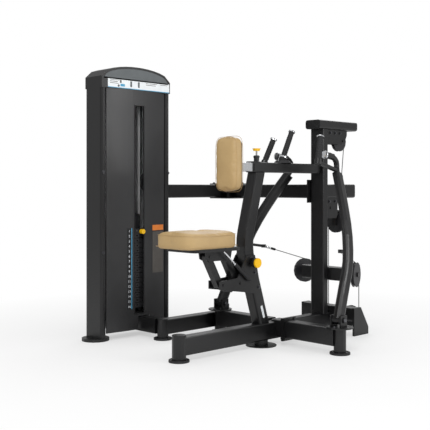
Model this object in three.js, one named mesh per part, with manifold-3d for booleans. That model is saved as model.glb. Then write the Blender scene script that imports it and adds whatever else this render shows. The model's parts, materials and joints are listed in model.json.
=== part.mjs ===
import * as THREE from 'three';
import { mergeVertices } from 'three/addons/utils/BufferGeometryUtils.js';
import Module from 'manifold-3d';

// Seated row machine. Lengths are in millimetres, angles in radians. +X is the way the user faces, +Y is to the
// user's left, +Z is up. Limits are given as [low, high] along an axis.

const wasm = await Module();
wasm.setup();

const model = new THREE.Group();
model.name = 'seated_row_machine';

const GAP = 0.3; // running clearance between neighbours
const OVER = 2; // overrun of a cutter past the surface it cuts
const WELD = 0.0001; // distance under which two corners are one
const HALF_SHARE = 0.5;
const AXES = 3; // coordinates of a point
const QUARTER_TURN = Math.PI * HALF_SHARE;
const HALF_TURN = Math.PI;
const ROUND_SIDES = 16; // facets of a round part
const SMALL_SIDES = 8; // facets of a bolt or a thin rod
const CORNER_STEPS = 2; // facets of a tube's rounded corner
const CABLE = 2.5; // cable radius
const CABLE_SIDES = 6; // facets of a cable
const ARC_STEP = QUARTER_TURN / 3; // turn between two points of a cable on a wheel
const CHORD_SHARE = Math.cos(ARC_STEP * HALF_SHARE); // how far such a cable's chords cut inside its arc

const FINISH = {
  frame: { color: 0x202124, roughness: 0.55, metalness: 0.3 },
  shroud: { color: 0x2a2b2d, roughness: 0.6, metalness: 0.1 },
  steel: { color: 0xc9ccd0, roughness: 0.25, metalness: 1 },
  iron: { color: 0x2e2f31, roughness: 0.7, metalness: 0.5 },
  rubber: { color: 0x17181a, roughness: 0.85, metalness: 0 },
  leather: { color: 0xd6b67c, roughness: 0.6, metalness: 0 },
  yellow: { color: 0xf2c200, roughness: 0.4, metalness: 0 },
};

// ---------- solids ----------

function pointsOf(geometry) {
  const plain = geometry.index ? geometry.toNonIndexed() : geometry.clone();
  plain.deleteAttribute('normal');
  plain.deleteAttribute('uv');
  return mergeVertices(plain, WELD);
}

// Turns a closed surface into a solid, faces out.
function solid(geometry) {
  const merged = pointsOf(geometry);
  const places = Float32Array.from(merged.attributes.position.array);
  const faces = Uint32Array.from(merged.index.array);
  const corner = (k) => new THREE.Vector3(places[3 * k], places[3 * k + 1], places[3 * k + 2]);
  let volume = 0;
  for (let k = 0; k < faces.length; k += 3) {
    const [a, b, c] = [corner(faces[k]), corner(faces[k + 1]), corner(faces[k + 2])];
    volume += a.dot(b.cross(c));
  }
  if (volume < 0) {
    for (let k = 0; k < faces.length; k += 3) {
      [faces[k + 1], faces[k + 2]] = [faces[k + 2], faces[k + 1]];
    }
  }
  return new wasm.Manifold(new wasm.Mesh({ numProp: 3, vertProperties: places, triVerts: faces }));
}

function join(...solids) {
  return solids.reduce((whole, piece) => whole.add(piece));
}

function cut(whole, ...cutters) {
  return cutters.reduce((rest, cutter) => rest.subtract(cutter), whole);
}

function roundedOutline(width, height, radius) {
  const outline = [];
  const centres = [[1, 1], [-1, 1], [-1, -1], [1, -1]];
  centres.forEach(([across, up], quarter) => {
    for (let step = 0; step <= CORNER_STEPS; step += 1) {
      const turn = (quarter + step / CORNER_STEPS) * QUARTER_TURN;
      outline.push(new THREE.Vector2(
        across * (width * HALF_SHARE - radius) + radius * Math.cos(turn),
        up * (height * HALF_SHARE - radius) + radius * Math.sin(turn),
      ));
    }
  });
  return outline;
}

function roundOutline(radius, sides) {
  const outline = [];
  for (let step = 0; step < sides; step += 1) {
    const turn = step / sides * 2 * HALF_TURN;
    outline.push(new THREE.Vector2(radius * Math.cos(turn), radius * Math.sin(turn)));
  }
  return outline;
}

function middle([low, high]) {
  return (low + high) * HALF_SHARE;
}

// A straight tube or block between limits, with its long corners rounded, along the named axis.
function bar(axis, x, y, z, radius = 0) {
  const [dx, dy, dz] = [x, y, z].map(([low, high]) => high - low);
  const section = { x: [dz, dy, dx], y: [dx, dz, dy], z: [dx, dy, dz] }[axis];
  const [width, height, depth] = section;
  let geometry;
  if (radius > 0) {
    geometry = new THREE.ExtrudeGeometry(
      new THREE.Shape(roundedOutline(width, height, radius)), { depth, bevelEnabled: false, steps: 1 });
    geometry.translate(0, 0, -depth * HALF_SHARE);
  } else {
    geometry = new THREE.BoxGeometry(width, height, depth);
  }
  if (axis === 'x') {
    geometry.rotateY(QUARTER_TURN);
  }
  if (axis === 'y') {
    geometry.rotateX(-QUARTER_TURN);
  }
  geometry.translate(middle(x), middle(y), middle(z));
  return solid(geometry);
}

function around(centre, half) {
  return [centre - half, centre + half];
}

function vector([x, y, z]) {
  return new THREE.Vector3(x, y, z);
}

// A round rod from one point to another; a second radius makes a cone.
function rod(from, to, radius, sides = ROUND_SIDES, farRadius = radius) {
  const start = vector(from);
  const along = vector(to).sub(start);
  const geometry = new THREE.CylinderGeometry(farRadius, radius, along.length(), sides);
  geometry.translate(0, along.length() * HALF_SHARE, 0);
  const turn = new THREE.Quaternion().setFromUnitVectors(
    new THREE.Vector3(0, 1, 0), along.clone().normalize());
  geometry.applyQuaternion(turn);
  geometry.translate(start.x, start.y, start.z);
  return solid(geometry);
}

// The radius of a faceted bore whose flats still clear a round pin.
function bore(radius, sides, clearance = GAP) {
  return (radius + clearance) / Math.cos(Math.PI / sides);
}

// A path whose rings fall exactly on its listed points.
class PointPath extends THREE.Curve {
  constructor(points) {
    super();
    this.points = points;
  }

  getPoint(share) {
    const place = share * (this.points.length - 1);
    const index = Math.min(Math.floor(place), this.points.length - 2);
    return this.points[index].clone().lerp(this.points[index + 1], place - index);
  }

  getPointAt(share) {
    return this.getPoint(share);
  }

  getTangentAt(share) {
    const last = this.points.length - 1;
    const index = Math.round(share * last);
    const before = this.points[Math.max(index - 1, 0)];
    const here = this.points[index];
    const after = this.points[Math.min(index + 1, last)];
    const tangent = new THREE.Vector3();
    if (index > 0) {
      tangent.add(here.clone().sub(before).normalize());
    }
    if (index < last) {
      tangent.add(after.clone().sub(here).normalize());
    }
    return tangent.normalize();
  }
}

function sweep(points, outline) {
  const path = new PointPath(points);
  return solid(new THREE.ExtrudeGeometry(
    new THREE.Shape(outline), { extrudePath: path, steps: points.length - 1, bevelEnabled: false }));
}

function smooth(points, rings) {
  return new THREE.CatmullRomCurve3(points.map(vector), false, 'centripetal').getPoints(rings);
}

// A flat plate: an outline in X and Z, between two limits along Y.
function platePolygon(outline, [low, high]) {
  const shape = new THREE.Shape(outline.map(([x, z]) => new THREE.Vector2(x, z)));
  const geometry = new THREE.ExtrudeGeometry(shape, { depth: high - low, bevelEnabled: false, steps: 1 });
  geometry.rotateX(QUARTER_TURN);
  geometry.translate(0, high, 0);
  return solid(geometry);
}

function mirrored(whole, side) {
  return side > 0 ? whole : whole.mirror([0, 1, 0]);
}

function add(name, whole, finish) {
  const mesh = whole.getMesh();
  const geometry = new THREE.BufferGeometry();
  geometry.setAttribute('position', new THREE.BufferAttribute(Float32Array.from(mesh.vertProperties), 3));
  geometry.setIndex(new THREE.BufferAttribute(Uint32Array.from(mesh.triVerts), 1));
  geometry.computeVertexNormals();
  const part = new THREE.Mesh(geometry, new THREE.MeshStandardMaterial(FINISH[finish]));
  part.name = name;
  model.add(part);
}

// ---------- sizes ----------

const RAIL = { half: 35, z: [33, 133], back: -605, front: 665, corner: 8 };
const POST = { radius: 38, top: 141, disc: 56, discTop: 12 };
const SOLE = { x: 40, disc: 91, discTop: 6, radius: 40 };
const BEAM = { x: 170, half: 40, z: [45, 145], corner: 8 };
const FLANGE = { inner: 90, thick: 8, half: 58, z: [28, 162], bolt: 9, boltX: 44, boltZ: [42, 148], head: 8 };
const FOOT = { y: 474.7, radius: 35, disc: 57, top: 145, plate: 75, plateTop: 153 };
const PIVOT = { x: 170, y: 465, z: 190, pin: 10, barrel: 26, half: 27, gap: 1, ear: 10, earHalf: 28, earTop: 216 };
const PIVOT_HEAD = { radius: 16, length: 6 };
const BUMPER = { x: 226, radius: 12, top: 178 };

const SIDE_RAIL = { y: [510, 580], x: [-252, 205], z: [33, 125], post: 32, postTop: 123, disc: 55, corner: 8 };
const TOWER = {
  x: [-575, -35], y: [732, 897], floor: 17, top: 1530, postWidth: 38, corner: 16, disc: 84, discY: 812,
  discInset: 15,
};
const TOWER_BEAM = { x: -252, half: 35, base: [125, 150], baseY: [750, 885] };
const PANEL = { x: [-534, -76], edge: 738, bow: 15, thick: 6, z: [45, TOWER.top], steps: 12 };
const SLOT = { x: [-327, -255], z: [145, TOWER.top - 96], notchX: [-300, -204], notchTop: 128 };
const REAR = {
  y: [891, 897], z: [45, TOWER.top], shelf: [TOWER.top - 42, TOWER.top - 32], shelfX: [-380, -190], shelfY: 780,
  hole: 8,
};
const CAP = {
  shoulder: TOWER.top + 70, top: TOWER.top + 143, y: [728, 897], inner: TOWER.top + 95, innerX: [-530, -80],
  innerY: [744, 885],
};
const CAP_ARCH = { steps: 12, bump: [-500, -380], bumpY: [860, 904], bumpZ: [TOWER.top + 40, TOWER.top + 110] };

const GUIDE = { radius: 11, x: [-345, -225], y: 812, z: [150, TOWER.top - 42], clear: 1.5 };
const STACK = {
  x: [-410, -160], y: [752, 872], bottom: 175, pitch: 31, thick: 28, resting: 15, core: 6,
  stem: 12, stemX: -285, bumper: 24, pinBore: 5.5, pinDepth: 38,
};
const HEAD = { half: 45, y: [777, 847], top: 760, corner: 10, eye: 8, eyeTop: 775, stemBottom: 200 };
const SELECTOR = { radius: 4.7, tipGap: 2, stand: 40, knob: 15, knobLength: 22 };

const CROSS = { half: 30, z: [859, 947], wall: 4, y: 812, x: 585, corner: 8 };
const CROSS_RUN = { sideFrom: -35, sideTo: 480, backFrom: 51, backTo: 705 };
const CROSS_FLANGE = { thick: 10, half: 50, z: [830, 976], bolt: 9, reach: 7 };
const CORNER = { x: [440, 623], y: [665, 850], plate: 8 };
const COLUMN = { x: [561, 609], half: 51, z: [133, 1295], wall: 4, corner: 6 };
const COLUMN_SLOT = { half: 15, z: [1205, 1297], sideZ: [880, 978], sideX: [570, 600] };
const TOP_BAR = { x: [519, 906], half: 58, z: [1295, 1352], corner: 14, cap: 6 };
const MID_BAR = { x: [609, 906], half: 40, z: [859, 947], corner: 12, slotX: [765, 815], slotHalf: 10, cap: 6 };
const BRACKET = {
  x: [612, 823], z: 1205, chamfer: 60, nose: 20, noseRise: 20, y: [30, 38], axle: 7, hub: 12, bolt: 9, boltReach: 5,
};
const LOW_PLATE = { x: [612, 725], z: [731, 859], bolt: [655, 797] };
const GUIDE_EAR = { x: [774, 806], y: [14, 20], top: 1004 };
const MID_CROSS = { x: [609, 679], half: 165, z: [342, 426], corner: 10 };
const MID_BLOCK = { x: [640, 700], y: [148, 172], z: [350, 414] };
const LOW_CROSS = { x: [665, 735], half: 200, z: [91, 175], corner: 10, leg: 12, legX: [665, 815] };
const AXLE = { radius: 8, head: 15, headLength: 8, gap: 1.5 };

const WHEEL = { half: 11, flange: 6, groove: 3, rim: 2, bore: 8.5 };
const TOWER_WHEEL = { x: -245, z: TOWER.top + 30, pitch: 40 };
const LOWER_WHEEL = { x: -145, z: 963, pitch: 60 };
const CORNER_WHEEL = { x: 540, y: 767, z: 903, pitch: 45 };
const COLUMN_WHEEL = { x: 585, y: 30, z: 933, pitch: 30 };
const REAR_WHEEL = { x: 622, z: 1250, pitch: 37 };
const FRONT_WHEEL = { x: 783, z: 1227, pitch: 60 };
const GUIDE_WHEEL = { x: 790, z: 984, pitch: 24 };
const FLOAT_WHEEL = { x: 757, z: 700, pitch: 60 };
const LOW_WHEEL = { x: 757, y: 120, z: 110, pitch: 60 };
const MID_WHEEL = { z: 382, pitch: 72 };
const BLOCK = { inner: 14, outer: 19, half: 18, bottom: 682, bridge: [770, 781], eye: 9, eyeTop: 792 };

const UPRIGHT = { path: [[74, 0, 9], [-112, 0, 590], [0, 0, 1020]], size: 76, corner: 12, bend: 90, top: 1015 };
const CHEST_ARM = { x: [-45, 561], half: 30, z: [1015, 1074], corner: 6, collar: [-52, 0], collarGrow: 5 };
const SLIDE = { x: [-195, 60], half: 25, cavity: 210, groove: 6.5, grooveDepth: 9, grooveX: [-112, 52] };
const PAD_PLATE = { x: [-200, -195], half: 70, z: [930, 1190], corner: 20 };
const PIN = { barrel: 16, top: 1114, stem: 5, tip: 1064, stemTop: 1141, knob: 23.5, knobTop: 1155, cone: 18 };
const GRIP_BASE = { x: 231, radius: 55, shoulder: 40, shoulderZ: 1090, neck: 22, neckTop: 1107 };
const FIXED_GRIP = { from: [231, 0, 1098], to: [314, 0, 1263], radius: 16, ring: 20, ringLength: 9 };

const ARM = {
  path: [[170, 465, 190], [239, 448, 348], [309, 425, 483], [371, 376, 658], [441, 290, 844], [515, 195, 1010]],
  width: 44, depth: 66, corner: 14, rings: 12,
  hook: [[500, 214, 977], [521, 186, 1035], [520, 182, 1085], [470, 185, 1118], [400, 189, 1124]],
  hookRadius: 17, hookRings: 10, sleeve: 21, sleeveFrom: 0.68, sleeveShare: 0.95, cap: 24.5, capLength: 8,
  link: [521, 188, 1030], linkRadius: 14, lugFrom: [350, 392, 560], lug: 9, eye: [398, 307, 550], eyeRadius: 15,
  eyeHalf: 10,
};
const HAND = { foot: [300, 216, 1075], direction: [58, -27, 148], collar: 21, low: -14, high: 20, length: 165 };
const HAND_GRIP = { radius: 17, flange: 22, flangeLength: 9 };
const CABLE_END = { start: 18, sleeve: 8, sleeveLength: 70 };

const LINK = { front: [-180, 386], rear: [-315, 386], reach: [-90, 160], radius: 20, half: 20, pin: 8 };
const LINK_PIN = { low: 50, high: 33 };
const SEAT_BRACKET = {
  outline: [[-345, 362], [-345, 408], [-205, 418], [-130, 540], [-62, 540], [-10, 330], [-60, 318], [-160, 335]],
  y: [38, 46], spacer: [-247, 350], spacerRadius: 9,
};
const CARRIER = {
  x: [-600, -250], half: 122, z: [582, 600], corner: 30, flange: [22, 30],
  outline: [[-440, 590], [-230, 590], [-245, 530], [-270, 522], [-405, 522], [-430, 534]],
};
const SPRING = {
  low: [-120, -60, 400], high: [-330, -60, 574.7], body: 11, rod: 5, bodyShare: 0.6, stud: 5, studReach: 70,
};
const SPRING_LUG = { x: [-342, -318], y: [-70, -48], z: [579, 590] };
const KNOB = { x: -80, z: 497, barrel: 15, barrelEnd: -58, stem: 7, tip: -38.3, neck: -62, head: 28, headEnd: -88 };

const CHEST_PAD = {
  length: 310, width: 176, thick: 64, radius: 34, edge: 14, crown: 7, drawn: 1, waist: 0, place: [-200, 0, 1060],
};
const SEAT_PAD = {
  length: 400, width: 305, thick: 92, radius: 62, edge: 20, crown: 9, drawn: 1, waist: 6, place: [-475, 0, 600],
};
const PAD_SHAPE = { foot: 0.35, draw: 1.6, middle: 0.42, brow: 1.1, shoulder: 0.3 }; // shares of edge and thickness
const PAD_SIDES = 40; // facets round a cushion's outline
const PAD_RINGS = 5; // rings across a cushion's crown

// ---------- frame on the floor ----------

function flangeBolts(fromY, toY) {
  const bolts = [];
  for (const across of [-1, 1]) {
    for (const z of FLANGE.boltZ) {
      const x = BEAM.x + across * FLANGE.boltX;
      bolts.push(rod([x, fromY, z], [x, toY, z], FLANGE.bolt, SMALL_SIDES));
    }
  }
  return bolts;
}

function frontRail() {
  const beamX = around(BEAM.x, BEAM.half);
  const plateX = around(BEAM.x, FLANGE.half);
  const face = -FLANGE.inner - FLANGE.thick;
  return join(
    bar('x', [RAIL.back, RAIL.front], around(0, RAIL.half), RAIL.z, RAIL.corner),
    rod([RAIL.back, 0, 0], [RAIL.back, 0, POST.discTop], POST.disc),
    rod([RAIL.back, 0, 0], [RAIL.back, 0, POST.top], POST.radius),
    rod([SOLE.x, 0, 0], [SOLE.x, 0, SOLE.discTop], SOLE.disc),
    rod([SOLE.x, 0, 0], [SOLE.x, 0, RAIL.z[0] + OVER], SOLE.radius),
    bar('y', beamX, [-FLANGE.inner - OVER, 0], BEAM.z, BEAM.corner),
    bar('y', plateX, [face, -FLANGE.inner], FLANGE.z),
    ...flangeBolts(-FLANGE.inner - OVER, -FLANGE.inner + FLANGE.head),
  );
}

function baseBeamRight() {
  const face = -FLANGE.inner - FLANGE.thick;
  const far = face - FLANGE.thick;
  const end = FOOT.y - FOOT.radius * HALF_SHARE;
  const beam = join(
    bar('y', around(BEAM.x, BEAM.half), [-end, far + OVER], BEAM.z, BEAM.corner),
    bar('y', around(BEAM.x, FLANGE.half), [far, face], FLANGE.z),
    ...flangeBolts(far - FLANGE.head, far + OVER),
  );
  return cut(beam, rod([BEAM.x, -FOOT.y, 0], [BEAM.x, -FOOT.y, FOOT.plateTop], bore(FOOT.radius, ROUND_SIDES)));
}

function baseBeamLeft() {
  const end = FOOT.y - FOOT.radius * HALF_SHARE;
  const plateZ = [RAIL.z[0] + OVER, RAIL.z[1] - OVER];
  const beam = join(
    bar('y', around(BEAM.x, BEAM.half), [RAIL.half, end], BEAM.z, BEAM.corner),
    bar('y', around(BEAM.x, FLANGE.half), [RAIL.half, RAIL.half + FLANGE.thick], plateZ),
  );
  return cut(beam, rod([BEAM.x, FOOT.y, 0], [BEAM.x, FOOT.y, FOOT.plateTop], bore(FOOT.radius, ROUND_SIDES)));
}

// A side foot with the fork, the pin and the rubber stop of the arm's pivot.
function armFoot(side) {
  const ears = [-1, 1].map((way) => {
    const inner = PIVOT.y + way * (PIVOT.half + PIVOT.gap);
    const outer = inner + way * PIVOT.ear;
    const limits = [Math.min(inner, outer), Math.max(inner, outer)];
    return bar('y', around(PIVOT.x, PIVOT.earHalf), limits, [FOOT.plateTop - OVER, PIVOT.earTop]);
  });
  const reach = PIVOT.half + PIVOT.gap + PIVOT.ear;
  const heads = [-1, 1].map((way) => rod(
    [PIVOT.x, PIVOT.y + way * (reach - OVER), PIVOT.z],
    [PIVOT.x, PIVOT.y + way * (reach + PIVOT_HEAD.length), PIVOT.z], PIVOT_HEAD.radius, SMALL_SIDES));
  const foot = join(
    rod([BEAM.x, FOOT.y, 0], [BEAM.x, FOOT.y, POST.discTop], FOOT.disc),
    rod([BEAM.x, FOOT.y, 0], [BEAM.x, FOOT.y, FOOT.top + OVER], FOOT.radius),
    rod([BEAM.x, FOOT.y, FOOT.top], [BEAM.x, FOOT.y, FOOT.plateTop], FOOT.plate),
    rod([PIVOT.x, PIVOT.y - reach, PIVOT.z], [PIVOT.x, PIVOT.y + reach, PIVOT.z], PIVOT.pin),
    rod([BUMPER.x, PIVOT.y, FOOT.plateTop - OVER], [BUMPER.x, PIVOT.y, BUMPER.top], BUMPER.radius, SMALL_SIDES),
    ...ears,
    ...heads,
  );
  return mirrored(foot, side);
}

function sideRail() {
  const y = middle(SIDE_RAIL.y);
  const x = SIDE_RAIL.x[0];
  return join(
    bar('x', SIDE_RAIL.x, SIDE_RAIL.y, SIDE_RAIL.z, SIDE_RAIL.corner),
    rod([x, y, 0], [x, y, POST.discTop], SIDE_RAIL.disc),
    rod([x, y, 0], [x, y, SIDE_RAIL.postTop + OVER], SIDE_RAIL.post + OVER),
  );
}

add('front_rail', frontRail(), 'frame');
add('base_beam_right', baseBeamRight(), 'frame');
add('base_beam_left', baseBeamLeft(), 'frame');
add('foot_right', armFoot(-1), 'frame');
add('foot_left', armFoot(1), 'frame');
add('side_rail', sideRail(), 'frame');

// ---------- weight tower ----------

function towerBase() {
  const post = rod(
    [SIDE_RAIL.x[0], middle(SIDE_RAIL.y), 0], [SIDE_RAIL.x[0], middle(SIDE_RAIL.y), TOWER_BEAM.base[1]],
    bore(SIDE_RAIL.post + OVER, ROUND_SIDES));
  const inner = [TOWER.x[0] + TOWER.postWidth, TOWER.x[1] - TOWER.postWidth];
  const beam = bar(
    'y', around(TOWER_BEAM.x, TOWER_BEAM.half), [SIDE_RAIL.y[1], TOWER.y[1]], SIDE_RAIL.z, SIDE_RAIL.corner);
  return join(
    cut(beam, post),
    bar('z', inner, TOWER_BEAM.baseY, [TOWER_BEAM.base[0] - OVER, TOWER_BEAM.base[1]]),
  );
}

function towerPost(side) {
  const outer = side < 0 ? TOWER.x[0] : TOWER.x[1];
  const inner = outer - side * TOWER.postWidth;
  const discX = outer - side * TOWER.discInset;
  return join(
    bar('z', [Math.min(outer, inner), Math.max(outer, inner)], TOWER.y, [TOWER.floor - OVER, TOWER.top],
      TOWER.corner),
    rod([discX, TOWER.discY, 0], [discX, TOWER.discY, TOWER.floor], TOWER.disc),
  );
}

function bowedPanel() {
  const centre = middle(PANEL.x);
  const half = (PANEL.x[1] - PANEL.x[0]) * HALF_SHARE;
  const outline = [];
  for (let step = 0; step <= PANEL.steps; step += 1) {
    const across = step / PANEL.steps * 2 - 1;
    outline.push(new THREE.Vector2(centre + across * half, PANEL.edge - PANEL.bow * (1 - across * across)));
  }
  for (let step = PANEL.steps; step >= 0; step -= 1) {
    const across = step / PANEL.steps * 2 - 1;
    const face = PANEL.edge - PANEL.bow * (1 - across * across);
    outline.push(new THREE.Vector2(centre + across * half, face + PANEL.thick));
  }
  const depth = PANEL.z[1] - PANEL.z[0];
  const geometry = new THREE.ExtrudeGeometry(new THREE.Shape(outline), { depth, bevelEnabled: false, steps: 1 });
  geometry.translate(0, 0, PANEL.z[0]);
  const through = [PANEL.edge - PANEL.bow - OVER, PANEL.edge + PANEL.thick + OVER];
  return cut(
    solid(geometry),
    bar('y', SLOT.x, through, SLOT.z),
    bar('y', SLOT.notchX, through, [0, SLOT.notchTop]),
  );
}

function rearPanel() {
  const inner = [TOWER.x[0] + TOWER.postWidth, TOWER.x[1] - TOWER.postWidth];
  const wheel = LOWER_WHEEL;
  const nose = GUIDE.y - WHEEL.half - AXLE.gap;
  const shelf = cut(
    bar('z', REAR.shelfX, [REAR.shelfY, REAR.y[1] - OVER], REAR.shelf),
    ...[TOWER_WHEEL.x - TOWER_WHEEL.pitch, TOWER_WHEEL.x + TOWER_WHEEL.pitch].map((x) => rod(
      [x, GUIDE.y, REAR.shelf[0] - OVER], [x, GUIDE.y, REAR.shelf[1] + OVER], REAR.hole, SMALL_SIDES)),
  );
  return join(
    cut(
      bar('z', inner, REAR.y, REAR.z),
      bar('y', SLOT.notchX, [REAR.y[0] - OVER, REAR.y[1] + OVER], [0, SLOT.notchTop]),
    ),
    shelf,
    rod([wheel.x, nose, wheel.z], [wheel.x, REAR.y[0] + OVER, wheel.z], AXLE.radius),
    rod([wheel.x, nose - AXLE.headLength, wheel.z], [wheel.x, nose, wheel.z], AXLE.head, SMALL_SIDES),
    rod([wheel.x, GUIDE.y + WHEEL.half + AXLE.gap, wheel.z], [wheel.x, REAR.y[0] + OVER, wheel.z], AXLE.head,
      SMALL_SIDES),
  );
}

function towerCap() {
  const centre = middle(TOWER.x);
  const half = (TOWER.x[1] - TOWER.x[0]) * HALF_SHARE;
  const outline = [[TOWER.x[0], TOWER.top]];
  for (let step = 0; step <= CAP_ARCH.steps; step += 1) {
    const across = step / CAP_ARCH.steps * 2 - 1;
    const rise = (CAP.top - CAP.shoulder) * Math.sqrt(1 - across * across);
    outline.push([centre + across * half, CAP.shoulder + rise]);
  }
  outline.push([TOWER.x[1], TOWER.top]);
  const shell = cut(
    platePolygon(outline, CAP.y),
    bar('z', CAP.innerX, CAP.innerY, [TOWER.top - OVER, CAP.inner]),
  );
  const wheel = TOWER_WHEEL;
  const hubs = [-1, 1].map((way) => rod(
    [wheel.x, GUIDE.y + way * (WHEEL.half + AXLE.gap), wheel.z],
    [wheel.x, way > 0 ? CAP.innerY[1] + OVER : CAP.innerY[0] - OVER, wheel.z], AXLE.head, SMALL_SIDES));
  return join(
    shell,
    bar('x', CAP_ARCH.bump, CAP_ARCH.bumpY, CAP_ARCH.bumpZ, TOWER.corner),
    rod([wheel.x, CAP.innerY[0] - OVER, wheel.z], [wheel.x, CAP.innerY[1] + OVER, wheel.z], AXLE.radius),
    ...hubs,
  );
}

function stackBores(bottom, top) {
  const low = bottom - OVER;
  const high = top + OVER;
  return [
    ...GUIDE.x.map((x) => rod([x, GUIDE.y, low], [x, GUIDE.y, high], GUIDE.radius + GUIDE.clear, SMALL_SIDES)),
    rod([STACK.stemX, GUIDE.y, low], [STACK.stemX, GUIDE.y, high], STACK.stem + GUIDE.clear, SMALL_SIDES),
  ];
}

function weightPlate(bottom, thick) {
  const plate = bar('z', STACK.x, STACK.y, [bottom, bottom + thick]);
  const z = bottom + thick * HALF_SHARE;
  const hole = rod([STACK.stemX, STACK.y[0] - OVER, z], [STACK.stemX, STACK.y[0] + STACK.pinDepth, z],
    STACK.pinBore, SMALL_SIDES);
  return cut(plate, hole);
}

function restingStack() {
  const top = STACK.bottom + STACK.resting * STACK.pitch;
  const gap = STACK.pitch - STACK.thick;
  const plates = [];
  for (let k = 0; k < STACK.resting; k += 1) {
    plates.push(weightPlate(STACK.bottom + k * STACK.pitch + gap, STACK.thick));
  }
  const coreX = [STACK.x[0] + STACK.core, STACK.x[1] - STACK.core];
  const coreY = [STACK.y[0] + STACK.core + STACK.pinDepth, STACK.y[1] - STACK.core];
  const bumpers = GUIDE.x.map((x) => rod(
    [x, GUIDE.y, GUIDE.z[0]], [x, GUIDE.y, STACK.bottom + gap + OVER], STACK.bumper, SMALL_SIDES));
  return cut(
    join(bar('z', coreX, coreY, [STACK.bottom, top - OVER]), ...plates, ...bumpers),
    ...stackBores(GUIDE.z[0], top),
  );
}

function liftingHead(bottom) {
  const y = GUIDE.y;
  return join(
    bar('z', around(STACK.stemX, HEAD.half), HEAD.y, [bottom, HEAD.top], HEAD.corner),
    rod([STACK.stemX, y, HEAD.stemBottom], [STACK.stemX, y, bottom + OVER], STACK.stem, SMALL_SIDES),
    rod([STACK.stemX, y, HEAD.top - OVER], [STACK.stemX, y, HEAD.eyeTop], HEAD.eye, SMALL_SIDES),
  );
}

const liftBottom = STACK.bottom + STACK.resting * STACK.pitch;
const liftTop = liftBottom + STACK.thick;
const pinZ = liftBottom + STACK.thick * HALF_SHARE;

add('tower_base', towerBase(), 'frame');
const sideBore = rod(
  [CROSS_RUN.sideFrom - TOWER.postWidth - OVER, GUIDE.y, middle(CROSS.z)],
  [CROSS_RUN.sideFrom + OVER, GUIDE.y, middle(CROSS.z)], REAR.hole, SMALL_SIDES);
add('tower_post_left', towerPost(-1), 'shroud');
add('tower_post_right', cut(towerPost(1), sideBore), 'shroud');
add('tower_front_panel', bowedPanel(), 'shroud');
add('tower_rear_panel', rearPanel(), 'shroud');
add('tower_cap', towerCap(), 'shroud');
GUIDE.x.forEach((x, k) => {
  add(`guide_rod_${k + 1}`, rod([x, GUIDE.y, GUIDE.z[0]], [x, GUIDE.y, GUIDE.z[1]], GUIDE.radius, SMALL_SIDES),
    'steel');
});
add('stack_rest', restingStack(), 'iron');
add('stack_plate_top', cut(weightPlate(liftBottom, STACK.thick), ...stackBores(liftBottom, liftTop)), 'iron');
add('stack_head', liftingHead(liftTop), 'iron');
const selectorTip = STACK.y[0] + STACK.pinDepth - SELECTOR.tipGap;
const selectorNeck = STACK.y[0] - SELECTOR.stand;
add('selector_pin', join(
  rod([STACK.stemX, selectorTip, pinZ], [STACK.stemX, selectorNeck - OVER, pinZ], SELECTOR.radius, SMALL_SIDES),
  rod([STACK.stemX, selectorNeck, pinZ], [STACK.stemX, selectorNeck - SELECTOR.knobLength, pinZ], SELECTOR.knob),
), 'yellow');

// ---------- beam round to the column, column and brackets ----------

function hollow(axis, x, y, z, radius) {
  const shrink = ([low, high], along) => (along
    ? [low - OVER, high + OVER]
    : [low + CROSS.wall, high - CROSS.wall]);
  const inner = [['x', x], ['y', y], ['z', z]].map(([name, limits]) => shrink(limits, name === axis));
  return cut(bar(axis, x, y, z, radius), bar(axis, ...inner));
}

function crossbeamSide() {
  const { sideFrom, sideTo } = CROSS_RUN;
  const flangeX = [sideFrom, sideFrom + CROSS_FLANGE.thick];
  const tube = join(
    bar('x', [sideFrom, sideTo], around(CROSS.y, CROSS.half), CROSS.z, CROSS.corner),
    bar('x', flangeX, around(CROSS.y, CROSS_FLANGE.half), CROSS_FLANGE.z),
  );
  const inner = bar(
    'x', [sideFrom - OVER, sideTo + OVER], around(CROSS.y, CROSS.half - CROSS.wall),
    [CROSS.z[0] + CROSS.wall, CROSS.z[1] - CROSS.wall]);
  return cut(tube, inner);
}

function crossbeamBack() {
  const { backFrom, backTo } = CROSS_RUN;
  const flangeEnd = backFrom + CROSS_FLANGE.thick;
  const bolts = [];
  for (const across of [-1, 1]) {
    for (const z of CROSS_FLANGE.z) {
      const x = CROSS.x + across * (CROSS_FLANGE.half - 2 * CROSS_FLANGE.bolt);
      const up = z + (z < middle(CROSS_FLANGE.z) ? CROSS_FLANGE.bolt + OVER : -CROSS_FLANGE.bolt - OVER);
      bolts.push(rod([x, flangeEnd - OVER, up], [x, flangeEnd + CROSS_FLANGE.reach, up], CROSS_FLANGE.bolt,
        SMALL_SIDES));
    }
  }
  const tube = join(
    bar('y', around(CROSS.x, CROSS.half), [backFrom, backTo], CROSS.z, CROSS.corner),
    bar('y', around(CROSS.x, CROSS_FLANGE.half), [backFrom, flangeEnd], CROSS_FLANGE.z),
    ...bolts,
  );
  const inner = bar(
    'y', around(CROSS.x, CROSS.half - CROSS.wall), [backFrom - OVER, backTo + OVER],
    [CROSS.z[0] + CROSS.wall, CROSS.z[1] - CROSS.wall]);
  const wheelReach = COLUMN_WHEEL.y + COLUMN_WHEEL.pitch + WHEEL.flange + AXLE.gap;
  const pocket = bar(
    'y', COLUMN_SLOT.sideX, [backFrom - OVER, wheelReach],
    [CROSS.z[1] - CROSS.wall - OVER, COLUMN_SLOT.sideZ[1]]);
  return cut(tube, inner, pocket);
}

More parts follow.
